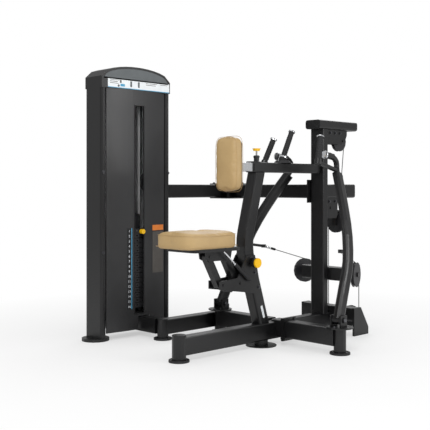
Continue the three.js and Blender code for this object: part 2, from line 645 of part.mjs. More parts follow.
function crossbeamCorner() {
  const [low, high] = CROSS.z;
  const wheel = CORNER_WHEEL;
  const wallX = [CROSS.x + CROSS.half, CORNER.x[1]];
  const wallY = [CROSS.y + CROSS.half, CORNER.y[1]];
  const tall = [low - OVER, high + OVER];
  const hubs = [-1, 1].map((way) => rod(
    [wheel.x, wheel.y, wheel.z + way * (WHEEL.half + AXLE.gap)],
    [wheel.x, wheel.y, way > 0 ? high + OVER : low - OVER], AXLE.head, SMALL_SIDES));
  return join(
    bar('z', CORNER.x, CORNER.y, [high, high + CORNER.plate]),
    bar('z', CORNER.x, CORNER.y, [low - CORNER.plate, low]),
    bar('z', wallX, CORNER.y, tall),
    bar('z', CORNER.x, wallY, tall),
    rod([wheel.x, wheel.y, low - OVER], [wheel.x, wheel.y, high + OVER], AXLE.radius),
    ...hubs,
  );
}

function column() {
  const wheel = COLUMN_WHEEL;
  const tube = cut(
    bar('z', COLUMN.x, around(0, COLUMN.half), COLUMN.z, COLUMN.corner),
    bar('z', [COLUMN.x[0] + COLUMN.wall, COLUMN.x[1] - COLUMN.wall], around(0, COLUMN.half - COLUMN.wall),
      [COLUMN.z[0] - OVER, COLUMN.z[1] + OVER]),
    bar('y', COLUMN_SLOT.sideX, [COLUMN.half - COLUMN.wall - OVER, COLUMN.half + OVER], COLUMN_SLOT.sideZ),
    bar('x', [COLUMN.x[1] - COLUMN.wall - OVER, COLUMN.x[1] + OVER], around(0, COLUMN_SLOT.half),
      COLUMN_SLOT.z),
  );
  const hubs = [-1, 1].map((way) => rod(
    [wheel.x + way * (WHEEL.half + AXLE.gap), wheel.y, wheel.z],
    [way > 0 ? COLUMN.x[1] - OVER : COLUMN.x[0] + OVER, wheel.y, wheel.z], AXLE.head, SMALL_SIDES));
  return join(
    tube,
    rod([COLUMN.x[0] + OVER, wheel.y, wheel.z], [COLUMN.x[1] - OVER, wheel.y, wheel.z], AXLE.radius),
    ...hubs,
  );
}

function cappedBar(limits) {
  const shoulder = around(0, limits.half - 2);
  const z = [limits.z[0] + 2, limits.z[1]];
  return join(
    bar('x', limits.x, around(0, limits.half), limits.z, limits.corner),
    bar('x', [limits.x[1] - OVER, limits.x[1] + limits.cap], shoulder, z, limits.corner - 2),
  );
}

function axleBetween(x, z, halfGap) {
  const hubs = [-1, 1].map((way) => rod(
    [x, way * (WHEEL.half + AXLE.gap), z], [x, way * (halfGap + OVER), z], BRACKET.hub, SMALL_SIDES));
  return join(rod([x, -halfGap - OVER, z], [x, halfGap + OVER, z], AXLE.radius), ...hubs);
}

function upperBracket() {
  const [back, front] = BRACKET.x;
  const top = TOP_BAR.z[0];
  const outline = [
    [back, BRACKET.z], [front - BRACKET.chamfer, BRACKET.z], [front - BRACKET.nose, BRACKET.z + BRACKET.noseRise],
    [front, BRACKET.z + BRACKET.chamfer], [front, top], [back, top],
  ];
  const [inner, outer] = BRACKET.y;
  const plates = [platePolygon(outline, [inner, outer]), platePolygon(outline, [-outer, -inner])];
  const bolts = [REAR_WHEEL, FRONT_WHEEL].map((wheel) => rod(
    [wheel.x, -outer - BRACKET.boltReach, wheel.z], [wheel.x, outer + BRACKET.boltReach, wheel.z],
    AXLE.radius, SMALL_SIDES));
  return join(
    ...plates,
    axleBetween(REAR_WHEEL.x, REAR_WHEEL.z, inner),
    axleBetween(FRONT_WHEEL.x, FRONT_WHEEL.z, inner),
    ...bolts,
  );
}

function midBar() {
  const [inner, outer] = BRACKET.y;
  const [lowX, highX] = LOW_PLATE.x;
  const [low, high] = LOW_PLATE.z;
  const outline = [[lowX, low], [highX - BRACKET.hub, low], [highX, low + BRACKET.hub * 2], [highX, high + OVER],
    [lowX, high + OVER]];
  const plates = [platePolygon(outline, [inner, outer]), platePolygon(outline, [-outer, -inner])];
  const [boltX, boltZ] = LOW_PLATE.bolt;
  const reach = outer + BRACKET.boltReach;
  const [earIn, earOut] = GUIDE_EAR.y;
  const earZ = [MID_BAR.z[1] - OVER, GUIDE_EAR.top];
  const ears = [[earIn, earOut], [-earOut, -earIn]].map((y) => bar('y', GUIDE_EAR.x, y, earZ));
  const wheel = GUIDE_WHEEL;
  const body = join(
    cappedBar(MID_BAR),
    ...plates,
    rod([boltX, -reach, boltZ], [boltX, reach, boltZ], BRACKET.bolt, SMALL_SIDES),
    ...ears,
    rod([wheel.x, -earOut - OVER, wheel.z], [wheel.x, earOut + OVER, wheel.z], AXLE.radius, SMALL_SIDES),
  );
  return cut(body, bar('z', MID_BAR.slotX, around(0, MID_BAR.slotHalf), [MID_BAR.z[0] - OVER, MID_BAR.z[1] + OVER]));
}

add('crossbeam_side', crossbeamSide(), 'frame');
add('crossbeam_back', crossbeamBack(), 'frame');
add('crossbeam_corner', crossbeamCorner(), 'frame');
add('column', column(), 'frame');
add('top_bar', cappedBar(TOP_BAR), 'frame');
add('upper_bracket', upperBracket(), 'frame');
add('mid_bar', midBar(), 'frame');

// ---------- pulleys ----------

function wheelGeometry(pitch, half = WHEEL.half) {
  const groove = pitch * CHORD_SHARE - CABLE - 2 * GAP;
  const rim = pitch + WHEEL.flange;
  const profile = [
    [WHEEL.bore, -half], [rim, -half], [rim, -half + WHEEL.rim], [groove, -WHEEL.groove],
    [groove, WHEEL.groove], [rim, half - WHEEL.rim], [rim, half], [WHEEL.bore, half], [WHEEL.bore, -half],
  ];
  return new THREE.LatheGeometry(profile.map(([r, along]) => new THREE.Vector2(r, along)), ROUND_SIDES);
}

function wheel(centre, axis, pitch, half = WHEEL.half) {
  const geometry = wheelGeometry(pitch, half);
  const turn = new THREE.Quaternion().setFromUnitVectors(new THREE.Vector3(0, 1, 0), vector(axis).normalize());
  geometry.applyQuaternion(turn);
  geometry.translate(...centre);
  return solid(geometry);
}

// The plan direction from an arm's cable eye to where the cable drops behind the middle pulley.
const planRun = new THREE.Vector2(LOW_WHEEL.x - ARM.eye[0], LOW_WHEEL.y + LOW_WHEEL.pitch - ARM.eye[1]).normalize();
const midCentre = [
  LOW_WHEEL.x - MID_WHEEL.pitch * planRun.x,
  LOW_WHEEL.y + LOW_WHEEL.pitch - MID_WHEEL.pitch * planRun.y,
  MID_WHEEL.z,
];
const midAxis = [-planRun.y, planRun.x, 0];

function midCross() {
  const out = (reach, side) => [
    midCentre[0] + midAxis[0] * reach, side * (midCentre[1] + midAxis[1] * reach), midCentre[2]];
  const far = WHEEL.half + AXLE.gap;
  const sides = [-1, 1].map((side) => join(
    mirrored(bar('y', MID_BLOCK.x, MID_BLOCK.y, MID_BLOCK.z, MID_CROSS.corner * HALF_SHARE), side),
    rod(out(-3 * WHEEL.half - OVER, side), out(far + OVER, side), AXLE.radius),
    rod(out(-3 * WHEEL.half - OVER, side), out(-far, side), AXLE.head, SMALL_SIDES),
    rod(out(far, side), out(far + AXLE.headLength, side), AXLE.head, SMALL_SIDES),
  ));
  return join(
    bar('y', MID_CROSS.x, around(0, MID_CROSS.half), MID_CROSS.z, MID_CROSS.corner),
    ...sides,
  );
}

function lowCross() {
  const face = LOW_CROSS.x[1] - OVER;
  const far = LOW_WHEEL.x + WHEEL.half + AXLE.gap;
  const near = LOW_WHEEL.x - WHEEL.half - AXLE.gap;
  const parts = [-1, 1].flatMap((side) => {
    const y = side * LOW_WHEEL.y;
    const legY = [LOW_CROSS.half - OVER, LOW_CROSS.half + LOW_CROSS.leg];
    const [low, high] = LOW_CROSS.legX;
    const leg = platePolygon([
      [low, 0], [high, 0], [high, LOW_CROSS.z[0] * HALF_SHARE], [LOW_CROSS.x[1], LOW_CROSS.z[1]],
      [low, LOW_CROSS.z[1]],
    ], legY);
    return [
      mirrored(leg, side),
      rod([face, y, LOW_WHEEL.z], [far + OVER, y, LOW_WHEEL.z], AXLE.radius),
      rod([face, y, LOW_WHEEL.z], [near, y, LOW_WHEEL.z], AXLE.head, SMALL_SIDES),
      rod([far, y, LOW_WHEEL.z], [far + AXLE.headLength, y, LOW_WHEEL.z], AXLE.head, SMALL_SIDES),
    ];
  });
  return join(bar('y', LOW_CROSS.x, around(0, LOW_CROSS.half), LOW_CROSS.z, LOW_CROSS.corner), ...parts);
}

function floatBlock() {
  const { x, z } = FLOAT_WHEEL;
  const plates = [[x - BLOCK.outer, x - BLOCK.inner], [x + BLOCK.inner, x + BLOCK.outer]].map((limits) => bar(
    'z', limits, around(0, BLOCK.half), [BLOCK.bottom, BLOCK.bridge[1]]));
  return join(
    ...plates,
    bar('z', [x - BLOCK.outer, x + BLOCK.outer], around(0, BLOCK.half), BLOCK.bridge),
    rod([x - BLOCK.outer, 0, z], [x + BLOCK.outer, 0, z], AXLE.radius),
    rod([x, 0, BLOCK.bridge[1] - OVER], [x, 0, BLOCK.eyeTop], BLOCK.eye, SMALL_SIDES),
  );
}

add('mid_cross_tube', midCross(), 'frame');
add('low_cross_tube', lowCross(), 'frame');
add('float_block', floatBlock(), 'frame');
add('tower_wheel', wheel([TOWER_WHEEL.x, GUIDE.y, TOWER_WHEEL.z], [0, 1, 0], TOWER_WHEEL.pitch), 'shroud');
add('lower_wheel', wheel([LOWER_WHEEL.x, GUIDE.y, LOWER_WHEEL.z], [0, 1, 0], LOWER_WHEEL.pitch), 'shroud');
add('corner_wheel', wheel([CORNER_WHEEL.x, CORNER_WHEEL.y, CORNER_WHEEL.z], [0, 0, 1], CORNER_WHEEL.pitch),
  'shroud');
add('column_wheel', wheel([COLUMN_WHEEL.x, COLUMN_WHEEL.y, COLUMN_WHEEL.z], [1, 0, 0], COLUMN_WHEEL.pitch),
  'shroud');
add('rear_wheel', wheel([REAR_WHEEL.x, 0, REAR_WHEEL.z], [0, 1, 0], REAR_WHEEL.pitch), 'shroud');
add('front_wheel', wheel([FRONT_WHEEL.x, 0, FRONT_WHEEL.z], [0, 1, 0], FRONT_WHEEL.pitch), 'shroud');
add('guide_wheel', wheel([GUIDE_WHEEL.x, 0, GUIDE_WHEEL.z], [0, 1, 0], GUIDE_WHEEL.pitch), 'shroud');
add('float_wheel', wheel([FLOAT_WHEEL.x, 0, FLOAT_WHEEL.z], [1, 0, 0], FLOAT_WHEEL.pitch), 'shroud');
for (const [name, side] of [['right', -1], ['left', 1]]) {
  const axis = [midAxis[0], side * midAxis[1], 0];
  add(`mid_wheel_${name}`, wheel([midCentre[0], side * midCentre[1], midCentre[2]], axis, MID_WHEEL.pitch),
    'shroud');
  add(`low_wheel_${name}`, wheel([LOW_WHEEL.x, side * LOW_WHEEL.y, LOW_WHEEL.z], [1, 0, 0], LOW_WHEEL.pitch),
    'shroud');
}

// ---------- cables ----------

// Points of an arc in the plane of two unit directions, from one angle to another.
function arc(centre, across, up, radius, from, to) {
  const steps = Math.max(1, Math.ceil(Math.abs(to - from) / ARC_STEP));
  const points = [];
  for (let k = 0; k <= steps; k += 1) {
    const turn = from + (to - from) * k / steps;
    points.push(vector(centre)
      .addScaledVector(across, radius * Math.cos(turn))
      .addScaledVector(up, radius * Math.sin(turn)));
  }
  return points;
}

const X = new THREE.Vector3(1, 0, 0);
const Y = new THREE.Vector3(0, 1, 0);
const Z = new THREE.Vector3(0, 0, 1);

function stackCable() {
  const top = [TOWER_WHEEL.x, GUIDE.y, TOWER_WHEEL.z];
  const lower = [LOWER_WHEEL.x, GUIDE.y, LOWER_WHEEL.z];
  const corner = [CORNER_WHEEL.x, CORNER_WHEEL.y, CORNER_WHEEL.z];
  const inColumn = [COLUMN_WHEEL.x, COLUMN_WHEEL.y, COLUMN_WHEEL.z];
  const rear = [REAR_WHEEL.x, 0, REAR_WHEEL.z];
  const front = [FRONT_WHEEL.x, 0, FRONT_WHEEL.z];
  const guide = [GUIDE_WHEEL.x, 0, GUIDE_WHEEL.z];
  const run = new THREE.Vector2(GUIDE_WHEEL.x - FRONT_WHEEL.x, GUIDE_WHEEL.z - FRONT_WHEEL.z);
  const leave = run.angle() - 2 * HALF_TURN + Math.acos((FRONT_WHEEL.pitch - GUIDE_WHEEL.pitch) / run.length());
  const eye = new THREE.Vector2(FLOAT_WHEEL.x - GUIDE_WHEEL.x, BLOCK.eyeTop + OVER - GUIDE_WHEEL.z);
  const drop = eye.angle() - 2 * HALF_TURN + Math.acos(GUIDE_WHEEL.pitch / eye.length());
  const points = [
    vector([STACK.stemX, GUIDE.y, HEAD.eyeTop + GAP]),
    ...arc(top, X, Z, TOWER_WHEEL.pitch, HALF_TURN, 0),
    ...arc(lower, X, Z, LOWER_WHEEL.pitch, HALF_TURN, HALF_TURN + QUARTER_TURN),
    ...arc(corner, X, Y, CORNER_WHEEL.pitch, QUARTER_TURN, 0),
    ...arc(inColumn, Y, Z, COLUMN_WHEEL.pitch, HALF_TURN + QUARTER_TURN, HALF_TURN),
    ...arc(rear, X, Z, REAR_WHEEL.pitch, HALF_TURN, QUARTER_TURN),
    ...arc(front, X, Z, FRONT_WHEEL.pitch, QUARTER_TURN, leave),
    ...arc(guide, X, Z, GUIDE_WHEEL.pitch, leave, drop),
    vector([FLOAT_WHEEL.x, 0, BLOCK.eyeTop + OVER]),
  ];
  return sweep(points, roundOutline(CABLE, CABLE_SIDES));
}

function rowCable() {
  const halfRoute = (side) => {
    const plan = new THREE.Vector3(planRun.x, side * planRun.y, 0);
    const centre = [midCentre[0], side * midCentre[1], midCentre[2]];
    const eye = vector([ARM.eye[0], side * ARM.eye[1], ARM.eye[2]]);
    const away = eye.clone().sub(vector(centre));
    const flat = new THREE.Vector2(away.dot(plan), away.z);
    const reach = flat.angle() - Math.acos(MID_WHEEL.pitch / flat.length());
    const over = arc(centre, plan, Z, MID_WHEEL.pitch, reach, 0);
    const along = over[0].clone().sub(eye).normalize();
    const start = eye.clone().addScaledVector(along, CABLE_END.start);
    const low = [LOW_WHEEL.x, side * LOW_WHEEL.y, LOW_WHEEL.z];
    const outward = new THREE.Vector3(0, side, 0);
    return {
      points: [start, ...over, ...arc(low, outward, Z, LOW_WHEEL.pitch, 0, -HALF_TURN)],
      start,
      sleeveEnd: start.clone().addScaledVector(along, CABLE_END.sleeveLength),
    };
  };
  const left = halfRoute(1);
  const right = halfRoute(-1);
  const over = arc([FLOAT_WHEEL.x, 0, FLOAT_WHEEL.z], Y, Z, FLOAT_WHEEL.pitch, 0, HALF_TURN);
  const points = [...left.points, ...over, ...right.points.reverse()];
  return join(
    sweep(points, roundOutline(CABLE, CABLE_SIDES)),
    ...[left, right].map((half) => rod(half.start.toArray(), half.sleeveEnd.toArray(), CABLE_END.sleeve,
      SMALL_SIDES)),
  );
}

add('stack_cable', stackCable(), 'rubber');
add('row_cable', rowCable(), 'rubber');

// ---------- chest support ----------

function uprightPath() {
  const [foot, knee, top] = UPRIGHT.path.map(vector);
  const down = foot.clone().sub(knee).normalize();
  const up = top.clone().sub(knee).normalize();
  const from = knee.clone().addScaledVector(down, UPRIGHT.bend);
  const to = knee.clone().addScaledVector(up, UPRIGHT.bend);
  const bend = new THREE.QuadraticBezierCurve3(from, knee, to).getPoints(CORNER_STEPS * 2);
  return [foot, ...bend, top.clone().addScaledVector(up, UPRIGHT.size)];
}

function chestUpright() {
  const tube = sweep(uprightPath(), roundedOutline(UPRIGHT.size, UPRIGHT.size, UPRIGHT.corner));
  const wide = around(0, UPRIGHT.size * 4);
  return cut(
    tube,
    bar('z', wide, wide, [-UPRIGHT.size * 4, RAIL.z[1]]),
    bar('z', wide, wide, [UPRIGHT.top, UPRIGHT.top + UPRIGHT.size * 4]),
  );
}

const slideZ = middle(CHEST_ARM.z);

function chestArm() {
  const collarZ = [CHEST_ARM.z[0], CHEST_ARM.z[1] + CHEST_ARM.collarGrow];
  const hole = SLIDE.half + GAP;
  const body = join(
    bar('x', CHEST_ARM.x, around(0, CHEST_ARM.half), CHEST_ARM.z, CHEST_ARM.corner),
    bar('x', CHEST_ARM.collar, around(0, CHEST_ARM.half + CHEST_ARM.collarGrow), collarZ, CHEST_ARM.corner),
    rod([0, 0, CHEST_ARM.z[1] - OVER], [0, 0, PIN.top], PIN.barrel),
  );
  return cut(
    body,
    bar('x', [CHEST_ARM.collar[0] - OVER, SLIDE.cavity], around(0, hole), around(slideZ, hole)),
    rod([0, 0, slideZ], [0, 0, PIN.top + OVER], bore(PIN.stem, SMALL_SIDES), SMALL_SIDES),
  );
}

function chestSlide() {
  const top = slideZ + SLIDE.half;
  const tube = bar('x', SLIDE.x, around(0, SLIDE.half), around(slideZ, SLIDE.half), CHEST_ARM.corner * HALF_SHARE);
  const groove = bar('x', SLIDE.grooveX, around(0, SLIDE.groove), [top - SLIDE.grooveDepth, top + OVER]);
  return join(
    cut(tube, groove),
    bar('x', [PAD_PLATE.x[0], PAD_PLATE.x[1] + OVER], around(0, PAD_PLATE.half), PAD_PLATE.z, PAD_PLATE.corner),
  );
}

function chestPin() {
  return join(
    rod([0, 0, PIN.tip], [0, 0, PIN.stemTop], PIN.stem, SMALL_SIDES),
    rod([0, 0, PIN.stemTop - 1], [0, 0, PIN.knobTop], PIN.cone, ROUND_SIDES, PIN.knob),
  );
}

function fixedGrip() {
  const from = vector(FIXED_GRIP.from);
  const along = vector(FIXED_GRIP.to).sub(from).normalize();
  const end = vector(FIXED_GRIP.to).addScaledVector(along, FIXED_GRIP.ringLength);
  const neck = from.clone().addScaledVector(along, PIN.barrel);
  return join(
    rod([GRIP_BASE.x, 0, CHEST_ARM.z[1]], [GRIP_BASE.x, 0, GRIP_BASE.shoulderZ], GRIP_BASE.radius, ROUND_SIDES,
      GRIP_BASE.shoulder),
    rod([GRIP_BASE.x, 0, GRIP_BASE.shoulderZ - OVER], [GRIP_BASE.x, 0, GRIP_BASE.neckTop], GRIP_BASE.neck),
    rod(from.toArray(), neck.toArray(), FIXED_GRIP.ring, SMALL_SIDES),
    rod(from.toArray(), FIXED_GRIP.to, FIXED_GRIP.radius),
    rod(FIXED_GRIP.to, end.toArray(), FIXED_GRIP.ring),
  );
}

add('chest_upright', chestUpright(), 'frame');
add('chest_arm', chestArm(), 'frame');
add('chest_slide', chestSlide(), 'steel');
add('chest_pin', chestPin(), 'yellow');
add('centre_grip', fixedGrip(), 'rubber');

// ---------- row arms ----------

const handAxis = vector(HAND.direction).normalize();
const handPoint = (reach) => vector(HAND.foot).addScaledVector(handAxis, reach).toArray();

function rowArm(side) {
  const hook = smooth(ARM.hook, ARM.hookRings);
  const tip = hook[hook.length - 1];
  const back = tip.clone().sub(hook[hook.length - 2]).normalize();
  const sleeveStart = hook[Math.round(ARM.hookRings * ARM.sleeveFrom)];
  const sleeveEnd = sleeveStart.clone().lerp(tip, ARM.sleeveShare);
  const { x, y, z } = PIVOT;
  const arm = join(
    sweep(smooth(ARM.path, ARM.rings), roundedOutline(ARM.width, ARM.depth, ARM.corner)),
    sweep(hook, roundOutline(ARM.hookRadius, SMALL_SIDES)),
    rod(sleeveStart.toArray(), sleeveEnd.toArray(), ARM.sleeve, SMALL_SIDES),
    rod(tip.clone().addScaledVector(back, -OVER).toArray(),
      tip.clone().addScaledVector(back, ARM.capLength).toArray(), ARM.cap),
    rod(ARM.link, HAND.foot, ARM.linkRadius, SMALL_SIDES),
    rod(handPoint(HAND.low), handPoint(HAND.high), HAND.collar),
    rod(ARM.lugFrom, ARM.eye, ARM.lug, SMALL_SIDES),
    rod([ARM.eye[0], ARM.eye[1], ARM.eye[2] - ARM.eyeHalf], [ARM.eye[0], ARM.eye[1], ARM.eye[2] + ARM.eyeHalf],
      ARM.eyeRadius, SMALL_SIDES),
    rod([x, y - PIVOT.half, z], [x, y + PIVOT.half, z], PIVOT.barrel),
  );
  const pin = rod([x, y - 2 * PIVOT.half, z], [x, y + 2 * PIVOT.half, z], bore(PIVOT.pin, ROUND_SIDES));
  return mirrored(cut(arm, pin), side);
}

function handGrip(side) {
  const flangeEnd = HAND.length + HAND_GRIP.flangeLength;
  return mirrored(join(
    rod(handPoint(HAND.high), handPoint(HAND.length + 1), HAND_GRIP.radius),
    rod(handPoint(HAND.length), handPoint(flangeEnd), HAND_GRIP.flange),
  ), side);
}

for (const [name, side] of [['right', -1], ['left', 1]]) {
  add(`arm_${name}`, rowArm(side), 'frame');
  add(`grip_${name}`, handGrip(side), 'rubber');
}

// ---------- seat ----------

const upper = ([x, z]) => [x + LINK.reach[0], z + LINK.reach[1]];
const alongY = ([x, z], half, radius, sides = ROUND_SIDES) => rod([x, -half, z], [x, half, z], radius, sides);

function seatBracket() {
  const [inner, outer] = SEAT_BRACKET.y;
  const bores = [LINK.front, LINK.rear].map((place) => alongY(place, 2 * outer, bore(LINK.pin, ROUND_SIDES)));
  const plates = [[inner, outer], [-outer, -inner]].map((y) => platePolygon(SEAT_BRACKET.outline, y));
  const [studX, , studZ] = SPRING.low;
  const knobBore = rod([KNOB.x, -inner + OVER, KNOB.z], [KNOB.x, KNOB.barrelEnd - OVER, KNOB.z],
    bore(KNOB.stem, SMALL_SIDES), SMALL_SIDES);
  const body = join(
    ...plates,
    alongY(SEAT_BRACKET.spacer, inner + OVER, SEAT_BRACKET.spacerRadius, SMALL_SIDES),
    rod([KNOB.x, -outer + OVER, KNOB.z], [KNOB.x, KNOB.barrelEnd, KNOB.z], KNOB.barrel),
    rod([studX, -outer + OVER, studZ], [studX, -SPRING.studReach, studZ], SPRING.stud, SMALL_SIDES),
  );
  return cut(body, ...bores, knobBore);
}

function seatLink(place) {
  const far = upper(place);
  const along = new THREE.Vector2(far[0] - place[0], far[1] - place[1]).normalize();
  const across = new THREE.Vector2(-along.y, along.x).multiplyScalar(LINK.radius);
  const outline = [
    [place[0] - across.x, place[1] - across.y], [place[0] + across.x, place[1] + across.y],
    [far[0] + across.x, far[1] + across.y], [far[0] - across.x, far[1] - across.y],
  ];
  return join(
    platePolygon(outline, around(0, LINK.half)),
    alongY(place, LINK.half, LINK.radius),
    alongY(far, LINK.half, LINK.radius),
    alongY(place, LINK_PIN.low, LINK.pin),
    alongY(far, LINK_PIN.high, LINK.pin),
  );
}

function seatCarrier() {
  const [inner, outer] = CARRIER.flange;
  const flanges = [[inner, outer], [-outer, -inner]].map((y) => platePolygon(CARRIER.outline, y));
  const rearClear = 3 * GAP;
  return cut(
    join(
      bar('z', CARRIER.x, around(0, CARRIER.half), CARRIER.z, CARRIER.corner),
      ...flanges,
      bar('z', SPRING_LUG.x, SPRING_LUG.y, SPRING_LUG.z),
    ),
    alongY(upper(LINK.front), 2 * outer, bore(LINK.pin, ROUND_SIDES)),
    alongY(upper(LINK.rear), 2 * outer, bore(LINK.pin, ROUND_SIDES, rearClear)),
  );
}

function gasSpring() {
  const low = vector(SPRING.low);
  const high = vector(SPRING.high);
  const along = high.clone().sub(low).normalize();
  const start = low.clone().addScaledVector(along, SPRING.stud + GAP);
  const change = low.clone().lerp(high, SPRING.bodyShare);
  const end = high.clone().addScaledVector(along, -GAP);
  return join(
    rod(start.toArray(), change.toArray(), SPRING.body, SMALL_SIDES),
    rod(start.toArray(), end.toArray(), SPRING.rod, SMALL_SIDES),
  );
}

add('seat_bracket', seatBracket(), 'frame');
add('seat_link_front', seatLink(LINK.front), 'frame');
add('seat_link_rear', seatLink(LINK.rear), 'frame');
add('seat_carrier', seatCarrier(), 'frame');
add('gas_spring', gasSpring(), 'steel');
add('seat_knob', join(
  rod([KNOB.x, KNOB.tip, KNOB.z], [KNOB.x, KNOB.neck - OVER, KNOB.z], KNOB.stem, SMALL_SIDES),
  rod([KNOB.x, KNOB.neck, KNOB.z], [KNOB.x, KNOB.headEnd, KNOB.z], KNOB.head),
), 'yellow');

// ---------- cushions ----------

// A cushion lying on its flat back: a rounded outline whose sides pull in, with a crown on top.
function cushion(pad) {
  const outline = roundedLoop(pad);
  const rings = [];
  const side = [
    [pad.edge * PAD_SHAPE.foot, 0], [pad.drawn, pad.edge * HALF_SHARE],
    [pad.drawn * PAD_SHAPE.draw, pad.thick * PAD_SHAPE.middle], [0, pad.thick - pad.edge * PAD_SHAPE.brow],
    [pad.edge * PAD_SHAPE.shoulder, pad.thick - pad.edge * PAD_SHAPE.foot - pad.crown],
    [pad.edge, pad.thick - pad.crown],
  ];
  side.forEach(([inset, height]) => rings.push(ringAt(outline, pad, inset, height)));
  const reach = pad.width * HALF_SHARE;
  for (let k = 1; k < PAD_RINGS; k += 1) {
    const share = k / PAD_RINGS;
    const inset = pad.edge + (reach - pad.edge) * share;
    rings.push(ringAt(outline, pad, inset, pad.thick - pad.crown * (1 - share) * (1 - share)));
  }
  return closeRings(rings, pad);
}

function roundedLoop(pad) {
  const points = [];
  const halfLength = pad.length * HALF_SHARE;
  const halfWidth = pad.width * HALF_SHARE;
  for (let k = 0; k < PAD_SIDES; k += 1) {
    const turn = (k + HALF_SHARE) / PAD_SIDES * 2 * HALF_TURN;
    points.push([Math.cos(turn), Math.sin(turn), halfLength, halfWidth]);
  }
  return points;
}

function ringAt(outline, pad, inset, height) {
  const shareOf = (half) => Math.max(0, (half - inset) / half);
  return outline.map(([c, s, halfLength, halfWidth]) => {
    const power = 2 / 5;
    const squareX = Math.sign(c) * Math.abs(c) ** power;
    const squareY = Math.sign(s) * Math.abs(s) ** power;
    const widthShare = shareOf(halfWidth);
    const lengthShare = (halfLength - inset * (halfLength / halfWidth) ** (1 - widthShare)) / halfLength;
    const waist = pad.waist * (1 - squareX * squareX) * widthShare;
    return [squareX * halfLength * Math.max(0, lengthShare), squareY * (halfWidth * widthShare - waist), height];
  });
}

function closeRings(rings, pad) {
  const places = [];
  rings.forEach((ring) => ring.forEach((point) => places.push(...point)));
  const bottom = places.length / AXES;
  places.push(0, 0, 0);
  const top = bottom + 1;
  places.push(0, 0, pad.thick);
  const faces = [];
  const count = PAD_SIDES;
  for (let k = 0; k < count; k += 1) {
    const next = (k + 1) % count;
    faces.push(bottom, next, k);
    for (let ring = 0; ring < rings.length - 1; ring += 1) {
      const low = ring * count;
      const high = low + count;
      faces.push(low + k, low + next, high + next, low + k, high + next, high + k);
    }
    const last = (rings.length - 1) * count;
    faces.push(last + k, last + next, top);
  }
  const geometry = new THREE.BufferGeometry();
  geometry.setAttribute('position', new THREE.Float32BufferAttribute(places, 3));
  geometry.setIndex(faces);
  return geometry;
}

const chestCushion = cushion(CHEST_PAD);
chestCushion.rotateY(-QUARTER_TURN);
chestCushion.translate(...CHEST_PAD.place);
add('chest_pad', solid(chestCushion), 'leather');

const seatCushion = cushion(SEAT_PAD);
seatCushion.translate(...SEAT_PAD.place);
add('seat_pad', solid(seatCushion), 'leather');

// ---------- one frame: the origin is under the middle of the whole ----------

const box = new THREE.Box3().setFromObject(model);
const centre = box.getCenter(new THREE.Vector3());
for (const part of model.children) {
  part.geometry.translate(-centre.x, -centre.y, -box.min.z);
}

export default model;
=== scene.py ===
"""Looks for a seated row machine: materials, cushions, cables, labels, caps, bolts and studio."""

from __future__ import annotations

import json
import logging
import math
from dataclasses import dataclass
from enum import Enum
from typing import Any, Callable, ClassVar, Optional, Sequence

import bmesh
import bpy
from mathutils import Matrix, Vector

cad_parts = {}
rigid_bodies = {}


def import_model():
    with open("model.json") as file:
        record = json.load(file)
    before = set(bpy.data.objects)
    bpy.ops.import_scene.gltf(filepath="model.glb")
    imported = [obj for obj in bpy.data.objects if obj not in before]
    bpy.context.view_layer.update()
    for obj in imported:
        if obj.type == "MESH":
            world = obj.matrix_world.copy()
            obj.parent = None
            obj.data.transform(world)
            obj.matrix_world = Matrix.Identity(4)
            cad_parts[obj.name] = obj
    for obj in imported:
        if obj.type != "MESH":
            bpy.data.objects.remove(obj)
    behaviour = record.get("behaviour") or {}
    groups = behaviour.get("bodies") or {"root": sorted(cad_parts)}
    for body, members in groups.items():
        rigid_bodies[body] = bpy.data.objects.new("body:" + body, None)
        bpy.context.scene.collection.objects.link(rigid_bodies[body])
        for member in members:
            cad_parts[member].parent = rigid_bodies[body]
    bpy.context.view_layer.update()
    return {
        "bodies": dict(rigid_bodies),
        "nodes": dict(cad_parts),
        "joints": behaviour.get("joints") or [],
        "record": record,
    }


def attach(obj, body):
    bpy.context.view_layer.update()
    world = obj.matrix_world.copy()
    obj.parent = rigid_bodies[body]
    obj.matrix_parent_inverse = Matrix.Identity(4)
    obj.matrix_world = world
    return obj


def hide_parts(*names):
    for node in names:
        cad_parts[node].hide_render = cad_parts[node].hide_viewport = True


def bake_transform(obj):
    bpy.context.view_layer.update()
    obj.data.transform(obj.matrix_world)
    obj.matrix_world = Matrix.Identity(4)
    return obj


LOG = logging.getLogger("seated_row")
ORIGIN_X_MM = 118.623413
ORIGIN_Y_MM = 177.149994
MM = 0.001
UPWARDS = Vector((0, 0, 1))
SMOOTH_ANGLE = math.radians(40)
SIDES = (("right", -1), ("left", 1))

Triple = tuple[float, float, float]
Pair = tuple[float, float]


def at(x: float, y: float, z: float) -> Vector:
    """Turn a place in the source's millimetres into the row frame.

    Args:
        x: place along the user's facing direction, in millimetres.
        y: place towards the user's left, in millimetres.
        z: height above the floor, in millimetres.

    Returns:
        The same place in metres, with the origin under the middle of the machine.
    """
    return Vector(((x - ORIGIN_X_MM) * MM, (y - ORIGIN_Y_MM) * MM, z * MM))


def linear(red: int, green: int, blue: int) -> Triple:
    """Turn an 8-bit screen colour into linear light.

    Args:
        red: red, 0 to 255.
        green: green, 0 to 255.
        blue: blue, 0 to 255.

    Returns:
        The linear colour.
    """

    def one(value: int) -> float:
        """Turn one channel into linear light."""
        share = value / 255
        return share / 12.92 if share <= 0.04045 else ((share + 0.055) / 1.055) ** 2.4

    return one(red), one(green), one(blue)


# ---------- shader maths ----------


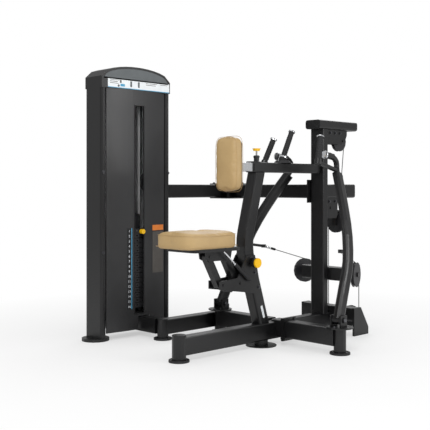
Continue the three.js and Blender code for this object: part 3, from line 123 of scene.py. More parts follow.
class Tree:
    """A node tree, all of whose nodes come from one method."""

    def __init__(self, tree: bpy.types.NodeTree) -> None:
        """Hold the tree."""
        self.tree = tree

    def node(self, kind: str, settings: Optional[dict[str, Any]] = None,
             sockets: Optional[dict[str | int, Any]] = None) -> bpy.types.Node:
        """Add a node.

        Args:
            kind: the node's type.
            settings: its settings, which are set first.
            sockets: a value, a link or a list of links for each socket.

        Returns:
            The node.
        """
        made = self.tree.nodes.new(kind)
        for name, value in (settings or {}).items():
            setattr(made, name, value)
        for key, value in (sockets or {}).items():
            self.feed(made.inputs[key], value)
        return made

    def feed(self, socket: bpy.types.NodeSocket, value: Any) -> None:
        """Give a socket its value or its links.

        Args:
            socket: the socket.
            value: a plain value, a socket, a Maths or a list of them.
        """
        for one in value if isinstance(value, list) else [value]:
            source = one.socket if isinstance(one, Maths) else one
            if isinstance(source, bpy.types.NodeSocket):
                self.tree.links.new(source, socket)
            else:
                socket.default_value = source


class Maths:
    """A shader socket that can be added, multiplied and compared like a number."""

    def __init__(self, tree: Tree, socket: bpy.types.NodeSocket) -> None:
        """Wrap a socket of a tree."""
        self.tree = tree
        self.socket = socket

    def _node(self, operation: str, first: "Maths | float", second: "Maths | float") -> "Maths":
        """Add a Math node.

        Args:
            operation: what the node works out.
            first: its first value.
            second: its second value.

        Returns:
            The node's result.
        """
        node = self.tree.node("ShaderNodeMath", {"operation": operation}, {0: first, 1: second})
        return Maths(self.tree, node.outputs[0])

    def __add__(self, other: "Maths | float") -> "Maths":
        """Add a value."""
        return self._node("ADD", self, other)

    def __radd__(self, other: "Maths | float") -> "Maths":
        """Add to a value."""
        return self._node("ADD", other, self)

    def __sub__(self, other: "Maths | float") -> "Maths":
        """Take a value away."""
        return self._node("SUBTRACT", self, other)

    def __rsub__(self, other: "Maths | float") -> "Maths":
        """Take away from a value."""
        return self._node("SUBTRACT", other, self)

    def __mul__(self, other: "Maths | float") -> "Maths":
        """Multiply by a value."""
        return self._node("MULTIPLY", self, other)

    def __rmul__(self, other: "Maths | float") -> "Maths":
        """Multiply a value."""
        return self._node("MULTIPLY", other, self)

    def __pow__(self, other: "Maths | float") -> "Maths":
        """Raise to a power."""
        return self._node("POWER", self, other)

    def __rpow__(self, other: "Maths | float") -> "Maths":
        """Raise a value to this power."""
        return self._node("POWER", other, self)

    def __gt__(self, other: "Maths | float") -> "Maths":
        """Give 1 where this is the greater one."""
        return self._node("GREATER_THAN", self, other)

    def __lt__(self, other: "Maths | float") -> "Maths":
        """Give 1 where this is the lesser one."""
        return self._node("LESS_THAN", self, other)

    def mapped(self, low: float, high: float, to_low: float = 0.0,
               to_high: float = 1.0) -> "Maths":
        """Map a range onto another, clamped at its ends.

        Args:
            low: value that becomes to_low.
            high: value that becomes to_high.
            to_low: lowest result.
            to_high: highest result.

        Returns:
            The mapped value.
        """
        node = self.tree.node("ShaderNodeMapRange", {}, {
            "Value": self, "From Min": low, "From Max": high, "To Min": to_low, "To Max": to_high})
        return Maths(self.tree, node.outputs["Result"])


class Surface(Tree):
    """Builds one procedural material around a Principled shader."""

    def __init__(self, name: str) -> None:
        """Start the material of that name."""
        self.material = bpy.data.materials.new(name)
        self.material.use_nodes = True
        super().__init__(self.material.node_tree)
        self.shader = self.tree.nodes["Principled BSDF"]
        self.coords = self.node("ShaderNodeTexCoord").outputs["Object"]

    def part(self, axis: str) -> Maths:
        """Give one coordinate of the surface in the row frame.

        Args:
            axis: X, Y or Z.

        Returns:
            That coordinate, in metres.
        """
        node = self.node("ShaderNodeSeparateXYZ", {}, {0: self.coords})
        return Maths(self, node.outputs[axis])

    def noise(self, scale: float, detail: float, stretch: Triple = (1.0, 1.0, 1.0)) -> Maths:
        """Give a noise pattern.

        Args:
            scale: how many blotches a metre holds.
            detail: how many octaves are added.
            stretch: scale of the pattern along each axis.

        Returns:
            Noise from 0 to 1.
        """
        mapping = self.node("ShaderNodeMapping", {}, {"Vector": self.coords, "Scale": stretch})
        node = self.node("ShaderNodeTexNoise", {}, {
            "Scale": scale, "Detail": detail, "Vector": mapping.outputs["Vector"]})
        return Maths(self, node.outputs["Fac"])

    def cells(self, scale: float) -> Maths:
        """Give a cell pattern, such as leather's pebbles.

        Args:
            scale: how many cells a metre holds.

        Returns:
            The distance from a cell's edge.
        """
        node = self.node("ShaderNodeTexVoronoi", {"feature": "DISTANCE_TO_EDGE"}, {
            "Scale": scale, "Vector": self.coords})
        return Maths(self, node.outputs["Distance"])

    def blend(self, factor: Maths, first: Triple, second: Triple) -> bpy.types.NodeSocket:
        """Mix two colours.

        Args:
            factor: how much of the second colour shows.
            first: the colour at 0.
            second: the colour at 1.

        Returns:
            The mixed colour's socket.
        """
        node = self.node("ShaderNodeMix", {"data_type": "RGBA"}, {
            "Factor": factor, "A": (*first, 1), "B": (*second, 1)})
        return node.outputs["Result"]

    def paint(self, **inputs: Any) -> None:
        """Give the shader's inputs their values or links.

        Args:
            inputs: a value or link by the input's name, with _ for a space.
        """
        for name, value in inputs.items():
            self.feed(self.shader.inputs[name.replace("_", " ")], value)

    def bump(self, height: Maths, strength: float, depth: float) -> None:
        """Raise the surface by a height pattern.

        Args:
            height: the pattern.
            strength: how strong the bump is, 0 to 1.
            depth: the pattern's real depth in metres.
        """
        node = self.node("ShaderNodeBump", {}, {
            "Strength": strength, "Distance": depth, "Height": height})
        self.paint(Normal=node.outputs["Normal"])


# ---------- finishes ----------


@dataclass(frozen=True)
class Noise:
    """A noise of a finish, and how far it moves the finish's tone and its roughness."""

    detail: float
    tone: float
    gloss: float
    scale: float = 0.0


@dataclass(frozen=True)
class Finish:
    """A finish with two tones, which a fine and a broad noise mix."""

    name: str
    colour: Triple
    light: Triple
    roughness: float
    grain: float
    depth: float
    coat: float = 0.0
    stretch: Triple = (1.0, 1.0, 1.0)

    FINE: ClassVar[Noise]
    BROAD: ClassVar[Noise]
    TONES: ClassVar[Pair] = (0.3, 0.7)
    BUMP: ClassVar[float]
    METALLIC: ClassVar[float] = 0.0
    MIDDLE: ClassVar[float] = 0.5

    def shades(self) -> tuple[Triple, Triple]:
        """Give the darker and the lighter tone."""
        return self.colour, self.light

    def make(self) -> bpy.types.Material:
        """Make the finish's material.

        Returns:
            The material.
        """
        surface = Surface(self.name)
        fine = surface.noise(self.grain, self.FINE.detail, self.stretch)
        broad = surface.noise(self.BROAD.scale, self.BROAD.detail)
        tone = (broad * self.BROAD.tone + fine * self.FINE.tone).mapped(*self.TONES)
        change = ((broad - self.MIDDLE) * self.BROAD.gloss
                  + (fine - self.MIDDLE) * self.FINE.gloss)
        surface.paint(Base_Color=surface.blend(tone, *self.shades()), Metallic=self.METALLIC,
                      Roughness=change + self.roughness, Coat_Weight=self.coat)
        surface.bump(fine, self.BUMP, self.depth)
        return surface.material


@dataclass(frozen=True)
class PaintFinish(Finish):
    """A powder coat with its orange-peel texture."""

    grain: float = 900.0
    depth: float = 0.00008

    FINE: ClassVar[Noise] = Noise(detail=2.0, tone=0.4, gloss=0.12)
    BROAD: ClassVar[Noise] = Noise(detail=3.0, tone=0.6, gloss=0.16, scale=6.0)
    BUMP: ClassVar[float] = 0.35


@dataclass(frozen=True)
class MetalFinish(Finish):
    """Bare or plated metal with fine polishing lines."""

    light: Triple = (1.0, 1.0, 1.0)
    roughness: float = 0.12
    grain: float = 1800.0
    depth: float = 0.00003

    FINE: ClassVar[Noise] = Noise(detail=3.0, tone=0.5, gloss=0.12)
    BROAD: ClassVar[Noise] = Noise(detail=3.0, tone=0.5, gloss=0.1, scale=14.0)
    BUMP: ClassVar[float] = 0.08
    METALLIC: ClassVar[float] = 1.0
    DULL: ClassVar[float] = 0.82

    def shades(self) -> tuple[Triple, Triple]:
        """Give the dulled and the full colour."""
        red, green, blue = self.colour
        return (red * self.DULL, green * self.DULL, blue * self.DULL), self.colour


@dataclass(frozen=True)
class MouldedFinish(Finish):
    """Moulded plastic or rubber."""

    grain: float = 1500.0
    depth: float = 0.00006

    FINE: ClassVar[Noise] = Noise(detail=2.0, tone=0.3, gloss=0.1)
    BROAD: ClassVar[Noise] = Noise(detail=2.0, tone=0.7, gloss=0.08, scale=18.0)
    BUMP: ClassVar[float] = 0.3


@dataclass(frozen=True)
class LeatherFinish(Finish):
    """Upholstery leather with pebbles, creases and lighter worn places."""

    grain: float = 750.0
    depth: float = 0.00045

    FINE: ClassVar[Noise] = Noise(detail=6.0, tone=0.25, gloss=0.18, scale=90.0)
    BROAD: ClassVar[Noise] = Noise(detail=3.0, tone=0.75, gloss=0.0, scale=7.0)
    TONES: ClassVar[Pair] = (0.3, 0.72)
    BUMP: ClassVar[float] = 0.28
    PEBBLE_EDGE: ClassVar[float] = 0.32
    PEBBLE_GLOSS: ClassVar[float] = 0.06
    PEBBLE_HEIGHT: ClassVar[float] = 0.7
    CREASE_HEIGHT: ClassVar[float] = 0.5

    def make(self) -> bpy.types.Material:
        """Make the leather's material.

        Returns:
            The material.
        """
        surface = Surface(self.name)
        pebble = surface.cells(self.grain).mapped(0.0, self.PEBBLE_EDGE)
        crease = surface.noise(self.FINE.scale, self.FINE.detail)
        wear = surface.noise(self.BROAD.scale, self.BROAD.detail)
        tone = (wear * self.BROAD.tone + crease * self.FINE.tone).mapped(*self.TONES)
        change = (crease - self.MIDDLE) * self.FINE.gloss + pebble * self.PEBBLE_GLOSS
        surface.paint(Base_Color=surface.blend(tone, *self.shades()),
                      Roughness=change + self.roughness)
        surface.bump(pebble * self.PEBBLE_HEIGHT + crease * self.CREASE_HEIGHT, self.BUMP,
                     self.depth)
        return surface.material


class Coat(Enum):
    """The painted finishes."""

    FRAME = PaintFinish("frame_coat", linear(13, 13, 14), linear(20, 20, 21), 0.33)
    SHROUD = PaintFinish("shroud_coat", linear(15, 15, 16), linear(22, 22, 23), 0.35, grain=1200.0)
    # Painted reflection: a lighter copy of the shroud paint for the bowed front panel, standing in
    # for the reflections that light it.
    PANEL = PaintFinish("panel_painted_reflection", linear(38, 38, 39), linear(47, 47, 48), 0.38, grain=1200.0)
    IRON = PaintFinish("iron_coat", linear(26, 26, 28), linear(38, 38, 40), 0.5, grain=420.0,
                       depth=0.0002)


class Plated(Enum):
    """The bare metal finishes."""

    CHROME = MetalFinish("chrome", (0.83, 0.84, 0.86), roughness=0.12)
    RODS = MetalFinish("ground_rods", (0.9, 0.9, 0.91), roughness=0.42, stretch=(1.0, 1.0, 0.02))
    # Painted light: a pale metal for the inner face of the rear panel, so that the slot reads
    # bright where the closed tower would be dark.
    PAINTED_SLOT_LIGHT = MetalFinish("pale_painted_slot_light", (0.82, 0.83, 0.84), roughness=0.6)
    SLIDE = MetalFinish("slide_tube", (0.78, 0.79, 0.81), roughness=0.18,
                        stretch=(0.02, 1.0, 1.0))
    ZINC = MetalFinish("black_bolts", (0.13, 0.13, 0.14), roughness=0.3)


class Moulded(Enum):
    """The plastic and rubber finishes."""

    RUBBER = MouldedFinish("grip_rubber", linear(22, 22, 24), linear(34, 34, 36), 0.72,
                           depth=0.0002)
    WHEEL = MouldedFinish("wheel_nylon", linear(28, 28, 30), linear(38, 38, 41), 0.45)
    CAP = MouldedFinish("end_cap", linear(20, 20, 22), linear(29, 29, 31), 0.55)
    YELLOW = MouldedFinish("knob_yellow", linear(245, 190, 10), linear(252, 208, 40), 0.33,
                           coat=0.4)
    CABLE = MouldedFinish("cable_jacket", linear(18, 18, 20), linear(30, 30, 32), 0.4)
    PLACARD_GREY = MouldedFinish("placard_grey", linear(86, 91, 93), linear(97, 102, 104), 0.5)
    PLACARD_WHITE = MouldedFinish("placard_white", linear(226, 231, 234), linear(238, 242, 244),
                                  0.4)
    PLACARD_BLUE = MouldedFinish("placard_blue", linear(66, 150, 190), linear(84, 168, 206), 0.4)
    LABEL_ORANGE = MouldedFinish("label_orange", linear(214, 116, 38), linear(226, 132, 52), 0.45)
    LABEL_GREY = MouldedFinish("label_grey", linear(70, 66, 62), linear(82, 78, 74), 0.5)
    NUMERAL = MouldedFinish("numeral_white", linear(212, 218, 222), linear(226, 230, 234), 0.5)


class Hide(Enum):
    """The upholstery finishes."""

    TAN = LeatherFinish("tan_leather", linear(176, 147, 100), linear(188, 159, 111), 0.44)
    SEAM = LeatherFinish("tan_piping", linear(168, 138, 92), linear(180, 150, 103), 0.46,
                         grain=1100.0)


@dataclass(frozen=True)
class ToneChange:
    """A solid whose finish changes at a plane, which lies in the source's millimetres."""

    name: str
    node: str
    axis: str
    edge: float
    low: Enum
    high: Enum


class Palette:
    """Makes each finish's material once and hands it out again."""

    GRAIN = Noise(detail=3.0, tone=0.0, gloss=0.1, scale=1200.0)
    BUMP = 0.15
    DEPTH = 0.00005

    def __init__(self) -> None:
        """Start with no materials."""
        self._made: dict[str, bpy.types.Material] = {}

    def get(self, choice: Enum) -> bpy.types.Material:
        """Give the material of a finish.

        Args:
            choice: the finish, from one of the finish lists.

        Returns:
            Its material.
        """
        finish = choice.value
        if finish.name not in self._made:
            self._made[finish.name] = finish.make()
        return self._made[finish.name]

    def two_tone(self, change: ToneChange) -> bpy.types.Material:
        """Make a material that changes from one finish to another at a plane.

        Args:
            change: where it changes, and the finishes below and above.

        Returns:
            The material.
        """
        low, high = change.low.value, change.high.value
        plane = at(change.edge, change.edge, change.edge)["XYZ".index(change.axis)]
        surface = Surface(change.name)
        mask = surface.part(change.axis) > plane
        grain = surface.noise(self.GRAIN.scale, self.GRAIN.detail)
        rough = mask.mapped(0.0, 1.0, low.roughness, high.roughness)
        surface.paint(Base_Color=surface.blend(mask, low.colour, high.colour),
                      Metallic=mask.mapped(0.0, 1.0, low.METALLIC, high.METALLIC),
                      Roughness=rough + (grain - Finish.MIDDLE) * self.GRAIN.gloss)
        surface.bump(grain, self.BUMP, self.DEPTH)
        return surface.material


# ---------- mesh helpers ----------


def piece(name: str, mesh: bmesh.types.BMesh, material: bpy.types.Material, body: Optional[str],
          smooth: bool = True) -> bpy.types.Object:
    """Make a named object from a bmesh, give it a material and let it ride on a body.

    Args:
        name: the piece's name.
        mesh: its mesh, which is freed.
        material: its material.
        body: the body that carries it, or None for a piece that rides on no body.
        smooth: whether its faces are shaded smooth up to the smooth angle.

    Returns:
        The object.
    """
    bmesh.ops.recalc_face_normals(mesh, faces=mesh.faces)
    data = bpy.data.meshes.new(name)
    mesh.to_mesh(data)
    mesh.free()
    if smooth:
        data.shade_smooth()
        data.set_sharp_from_angle(angle=SMOOTH_ANGLE)
    data.materials.append(material)
    made = bpy.data.objects.new(name, data)
    bpy.context.scene.collection.objects.link(made)
    if body:
        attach(made, body)
    return made


def skin(mesh: bmesh.types.BMesh, rings: Sequence[Sequence[bmesh.types.BMVert]],
         capped: bool = True) -> None:
    """Join rings of equal length with faces.

    Args:
        mesh: the mesh that holds the rings.
        rings: the rings, from the first to the last.
        capped: whether the first and the last ring are closed.
    """
    for low, high in zip(rings, rings[1:]):
        for k, corner in enumerate(low):
            after = (k + 1) % len(low)
            mesh.faces.new((corner, low[after], high[after], high[k]))
    if capped:
        mesh.faces.new(rings[-1])
        mesh.faces.new(list(reversed(rings[0])))


@dataclass(frozen=True)
class Hoop:
    """A collar or a rib round a tube, in millimetres.

    Its soft edges slope over that length, and soft_end is for the last one, if that differs.
    """

    bore: float
    rim: float
    width: float
    soft: float
    soft_end: Optional[float] = None

    def profile(self) -> list[Pair]:
        """Give its outline.

        Returns:
            Pairs of radius and distance, in metres.
        """
        last = self.soft if self.soft_end is None else self.soft_end
        corners = ((self.bore, 0.0), (self.rim, self.soft), (self.rim, self.width - last),
                   (self.bore, self.width))
        return [(radius * MM, distance * MM) for radius, distance in corners]


def turned(profile: Sequence[Pair], start: Vector, along: Vector,
           sides: int = 40) -> bmesh.types.BMesh:
    """Turn a profile round an axis.

    Args:
        profile: pairs of radius and distance along the axis, in metres.
        start: where the axis starts.
        along: the axis direction.
        sides: facets round the axis.

    Returns:
        The turned mesh.
    """
    mesh = bmesh.new()
    turn = along.normalized().to_track_quat("Z", "Y").to_matrix()
    rings = []
    for radius, distance in profile:
        ring = []
        for k in range(sides if radius > 0 else 1):
            angle = math.tau * k / sides
            local = Vector((radius * math.cos(angle), radius * math.sin(angle), distance))
            ring.append(mesh.verts.new(start + turn @ local))
        rings.append(ring)
    for low, high in zip(rings, rings[1:]):
        for k in range(sides):
            corners = dict.fromkeys((low[k % len(low)], low[(k + 1) % len(low)],
                                     high[(k + 1) % len(high)], high[k % len(high)]))
            if len(corners) > 2:
                mesh.faces.new(list(corners))
    return mesh


def rounded_plate(width: float, height: float, thick: float, radius: float,
                  bevel: float) -> bmesh.types.BMesh:
    """Make a flat plate with rounded corners, centred on the origin in X and Z.

    Args:
        width: size along X, in millimetres.
        height: size along Z, in millimetres.
        thick: size along Y, towards -Y, in millimetres.
        radius: corner radius, in millimetres.
        bevel: edge softening, in millimetres.

    Returns:
        The plate's mesh.
    """
    steps = 6
    mesh = bmesh.new()
    rings = []
    for depth, inset in ((0.0, 0.0), (-(thick - bevel), 0.0), (-thick, bevel)):
        ring = []
        reach = radius - inset
        for quarter, (sx, sz) in enumerate(((1, 1), (-1, 1), (-1, -1), (1, -1))):
            for step in range(steps + 1):
                angle = (quarter + step / steps) * math.pi / 2
                ring.append(mesh.verts.new((
                    (sx * (width / 2 - radius) + reach * math.cos(angle)) * MM, depth * MM,
                    (sz * (height / 2 - radius) + reach * math.sin(angle)) * MM)))
        rings.append(ring)
    skin(mesh, rings)
    return mesh


# ---------- sub-assemblies ----------


@dataclass
class SubAssembly:
    """One group of pieces that dress part of the machine."""

    frame: dict[str, Any]
    palette: Palette

    def build(self) -> list[bpy.types.Object]:
        """Make the group's pieces.

        Returns:
            The pieces.
        """
        raise NotImplementedError

    def make(self, name: str, mesh: bmesh.types.BMesh, finish: Enum, slot: str,
             body: Optional[str] = "frame", smooth: bool = True) -> bpy.types.Object:
        """Make a piece with one of the palette's finishes.

        Args:
            name: the piece's name.
            mesh: its mesh, which is freed.
            finish: its finish.
            slot: the record's material slot that it belongs to; not used.
            body: the body that carries it, or None for a piece that rides on no body.
            smooth: whether its faces are shaded smooth.

        Returns:
            The object.
        """
        return piece(name, mesh, self.palette.get(finish), body, smooth)


@dataclass
class Coating(SubAssembly):
    """Gives every CAD node its procedural material and smooth shading."""

    facet_angle: float = math.radians(34)

    BY_SLOT: ClassVar[dict[str, Enum]] = {
        "frame_paint": Coat.FRAME,
        "shroud_paint": Coat.SHROUD,
        "polished_steel": Plated.RODS,
        "cast_iron": Coat.IRON,
        "rubber": Moulded.RUBBER,
        "pulley_plastic": Moulded.WHEEL,
        "cable_jacket": Moulded.CABLE,
        "leather": Hide.TAN,
        "yellow_plastic": Moulded.YELLOW,
    }
    CHANGES: ClassVar[tuple[ToneChange, ...]] = (
        ToneChange("chest_pin_tones", "chest_pin", "Z", 1140, Plated.CHROME, Moulded.YELLOW),
        ToneChange("seat_knob_tones", "seat_knob", "Y", -79, Moulded.YELLOW, Moulded.CAP),
        ToneChange("selector_pin_tones", "selector_pin", "Y", 712.5, Moulded.YELLOW,
                   Plated.CHROME),
        # Painted light: below this plane the rear panel's inner face is pale, so that the slot
        # reads bright.
        ToneChange("rear_panel_tones", "tower_rear_panel", "Y", 893, Plated.PAINTED_SLOT_LIGHT, Coat.SHROUD),
        ToneChange("gas_spring_tones", "gas_spring", "X", -246, Plated.CHROME, Moulded.CAP),
        ToneChange("chest_slide_tones", "chest_slide", "X", -193, Coat.FRAME, Plated.SLIDE),
    )

    def build(self) -> list[bpy.types.Object]:
        """Give each node its material.

        Returns:
            The nodes.
        """
        subparts = self.frame["record"]["subparts"]
        slots = {entry["node"]: entry["material_slot"] for entry in subparts}
        special = {change.node: self.palette.two_tone(change) for change in self.CHANGES}
        # Painted reflection: the front panel gets the lighter copy of the shroud paint.
        special["tower_front_panel"] = self.palette.get(Coat.PANEL)
        dressed = []
        for name, node in self.frame["nodes"].items():
            material = special.get(name) or self.palette.get(self.BY_SLOT[slots[name]])
            node.data.materials.clear()
            node.data.materials.append(material)
            node.data.shade_smooth()
            node.data.set_sharp_from_angle(angle=self.facet_angle)
            dressed.append(node)
        return dressed


@dataclass(frozen=True)
class CushionSize:
    """The sizes of a cushion, in millimetres, as in the solid that it stands for."""

    name: str
    node: str
    body: str
    length: float
    width: float
    thick: float
    edge: float
    crown: float
    drawn: float
    waist: float
    place: Triple
    upright: bool
    swell: float = 6.0
    dip: float = 0.0


@dataclass
class Cushions(SubAssembly):
    """Pressed foam cushions in leather, swollen by a short cloth simulation, with piping after it.

    A tuck, rise or drop is a share of the cushion's edge radius, by which a level of its side is
    drawn in, or lies above the foot or below the top. A skin is what is left for the swelling.
    The waist's rise is a share of the thickness, and its draw one of the drawn-in length.
    """

    power: float = 2 / 5
    sides: int = 120
    skin_mm: float = 1.0
    foot_skin_mm: float = 2.0
    shoulder_skin_mm: float = 1.5
    foot_tuck: float = 0.35
    lower_rise: float = 0.5
    waist_draw: float = 1.6
    waist_rise: float = 0.42
    shoulder_drop: float = 1.1
    brow_tuck: float = 0.3
    brow_drop: float = 0.35
    crown_rings: int = 8
    voxel: float = 0.0055
    pressure: float = 4.0
    cloth_quality: int = 4
    cloth_frames: int = 20
    fill: float = 0.85
    cord_radius: float = 1.1
    cord_sides: int = 8
    upper_tuck: float = 0.36
    upper_out: float = 1.6
    upper_drop: float = 0.42
    under_out: float = 3.2
    under_rise: float = 0.62

    SIZES: ClassVar[tuple[CushionSize, ...]] = (
        CushionSize("seat_cushion", "seat_pad", "seat_carrier", 400, 305, 92, edge=20, crown=9,
                    drawn=1, waist=6, place=(-475, 0, 600), upright=False, dip=9.0),
        CushionSize("chest_cushion", "chest_pad", "chest_slide", 310, 176, 64, edge=14, crown=7,
                    drawn=1, waist=0, place=(-200, 0, 1060), upright=True),
    )

    def build(self) -> list[bpy.types.Object]:
        """Make both cushions with their seams.

        Returns:
            The pieces.
        """
        made = []
        for size in self.SIZES:
            made.append(self._pad(size))
            made.extend(self._piping(size))
        return made

    def _turn(self, size: CushionSize, place: Vector) -> Vector:
        """Turn a place on a cushion into the row frame.

        Args:
            size: the cushion's sizes.
            place: the place, in millimetres from the middle of its back.

        Returns:
            The place in metres.
        """
        x, y, z = place
        if size.upright:
            x, z = -z, x
        return at(x + size.place[0], y + size.place[1], z + size.place[2])

    def _ring(self, size: CushionSize, inset: float, height: float) -> list[Vector]:
        """Give the cushion's outline at a height.

        Args:
            size: the cushion's sizes.
            inset: how far it is drawn in, in millimetres.
            height: the height above its back, in millimetres.

        Returns:
            The outline's points, in metres.
        """
        half_length, half_width = size.length / 2, size.width / 2
        width_share = max(0.0, (half_width - inset) / half_width)
        reach = inset * (half_length / half_width) ** (1 - width_share)
        length_share = max(0.0, (half_length - reach) / half_length)
        points = []
        for k in range(self.sides):
            angle = math.tau * (k + 0.5) / self.sides
            c, s = math.cos(angle), math.sin(angle)
            across = math.copysign(abs(c) ** self.power, c)
            side = math.copysign(abs(s) ** self.power, s)
            waist = size.waist * (1 - across * across) * width_share
            saddle = size.dip * (1 - across * across) * max(0.0, height / size.thick - 0.5) * 2
            points.append(self._turn(size, Vector((
                across * half_length * length_share, side * (half_width * width_share - waist),
                height - saddle))))
        return points

    def _levels(self, size: CushionSize) -> list[Pair]:
        """Give the cushion's profile, from its foot to the middle of its crown.

        Args:
            size: the cushion's sizes.

        Returns:
            Pairs of inset and height, in millimetres.
        """
        edge, skin_mm = size.edge, self.skin_mm
        levels = [
            (edge * self.foot_tuck + self.foot_skin_mm, 0),
            (size.drawn + skin_mm, edge * self.lower_rise),
            (size.drawn * self.waist_draw + skin_mm, size.thick * self.waist_rise),
            (self.shoulder_skin_mm, size.thick - edge * self.shoulder_drop),
            (edge * self.brow_tuck + skin_mm, size.thick - edge * self.brow_drop - size.crown),
            (edge, size.thick - size.crown - skin_mm),
        ]
        for k in range(1, self.crown_rings):
            share = k / self.crown_rings
            levels.append((edge + (size.width / 2 - edge) * share,
                           size.thick - skin_mm - size.crown * (1 - share) * (1 - share)))
        return levels

    def _pad(self, size: CushionSize) -> bpy.types.Object:
        """Make one cushion.

        Args:
            size: the cushion's sizes.

        Returns:
            The cushion, which stands for the solid of the same pad.
        """
        mesh = bmesh.new()
        rings = [self._ring(size, inset, height) for inset, height in self._levels(size)]
        skin(mesh, [[mesh.verts.new(point) for point in ring] for ring in rings])
        cushion = self.make(size.name, mesh, Hide.TAN, "leather", size.body)
        self._remesh(cushion)
        rest = [vertex.co.copy() for vertex in cushion.data.vertices]
        self._swell(cushion)
        self._cap(size, cushion, rest)
        smoother = cushion.modifiers.new("soften", "SUBSURF")
        smoother.levels = smoother.render_levels = 1
        self._apply(cushion, smoother.name)
        cushion.data.shade_smooth()
        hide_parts(size.node)
        return cushion

    @staticmethod
    def _apply(made: bpy.types.Object, name: str) -> None:
        """Apply a modifier.

        Args:
            made: the object.
            name: the modifier's name.
        """
        bpy.ops.object.select_all(action="DESELECT")
        made.select_set(True)
        bpy.context.view_layer.objects.active = made
        bpy.ops.object.modifier_apply(modifier=name)

    def _remesh(self, made: bpy.types.Object) -> None:
        """Give a cushion an even mesh that can swell."""
        remesh = made.modifiers.new("voxels", "REMESH")
        remesh.mode = "VOXEL"
        remesh.voxel_size = self.voxel
        remesh.use_smooth_shade = True
        self._apply(made, remesh.name)

    def _swell(self, made: bpy.types.Object) -> None:
        """Press a cushion outwards from inside, as its foam does."""
        cloth = made.modifiers.new("foam", "CLOTH")
        cloth.settings.use_pressure = True
        cloth.settings.uniform_pressure_force = self.pressure
        cloth.settings.effector_weights.gravity = 0.0
        cloth.settings.quality = self.cloth_quality
        cloth.point_cache.frame_start = 1
        cloth.point_cache.frame_end = self.cloth_frames
        scene = bpy.context.scene
        for frame in range(1, self.cloth_frames + 1):
            scene.frame_set(frame)
        self._apply(made, cloth.name)
        scene.frame_set(1)

    @staticmethod
    def _cap(size: CushionSize, made: bpy.types.Object, rest: Sequence[Vector]) -> None:
        """Keep the swelling within its limit and off the plate behind the cushion.

        Args:
            size: the cushion's sizes.
            made: the cushion.
            rest: its vertices before it swelled.
        """
        limit = size.swell * MM
        back = at(*size.place)
        for vertex, start in zip(made.data.vertices, rest):
            move = vertex.co - start
            if move.length > limit:
                vertex.co = start + move.normalized() * limit
            if size.upright:
                vertex.co.x = min(vertex.co.x, back.x)
            else:
                vertex.co.z = max(vertex.co.z, back.z)

    def _piping(self, size: CushionSize) -> list[bpy.types.Object]:
        """Make the sewn seams round a cushion, as thin cords that lie on it.

        Args:
            size: the cushion's sizes.

        Returns:
            The two seams.
        """
        edge = size.edge
        levels = (
            ("upper", edge * self.upper_tuck - self.upper_out,
             size.thick - edge * self.upper_drop - size.crown),
            ("lower", size.drawn - self.under_out, edge * self.under_rise),
        )
        up = (self._turn(size, UPWARDS) - self._turn(size, Vector())).normalized()
        seams = []
        for label, inset, height in levels:
            ring = self._ring(size, inset, height)
            middle = sum(ring, Vector()) / len(ring)
            mesh = bmesh.new()
            loops = []
            for k, point in enumerate(ring):
                tangent = (ring[(k + 1) % len(ring)] - ring[k - 1]).normalized()
                out = tangent.cross(up).normalized()
                if out.dot(point - middle) < 0:
                    out = -out
                loop = []
                for step in range(self.cord_sides):
                    angle = math.tau * step / self.cord_sides
                    way = out * math.cos(angle) + up * math.sin(angle)
                    loop.append(mesh.verts.new(point + way * self.cord_radius * MM))
                loops.append(loop)
            skin(mesh, [*loops, loops[0]], capped=False)
            seams.append(self.make(f"{size.name}_{label}_seam", mesh, Hide.SEAM, "leather",
                                   size.body))
        return seams


@dataclass(frozen=True)
class CableStretch:
    """One length of a cable: the faces that belong to it and the bodies that it runs between."""

    name: str
    holds: Callable[[Vector], bool]
    moving: Optional[str] = None
    start: Triple = (0.0, 0.0, 0.0)
    end: Triple = (0.0, 0.0, 0.0)


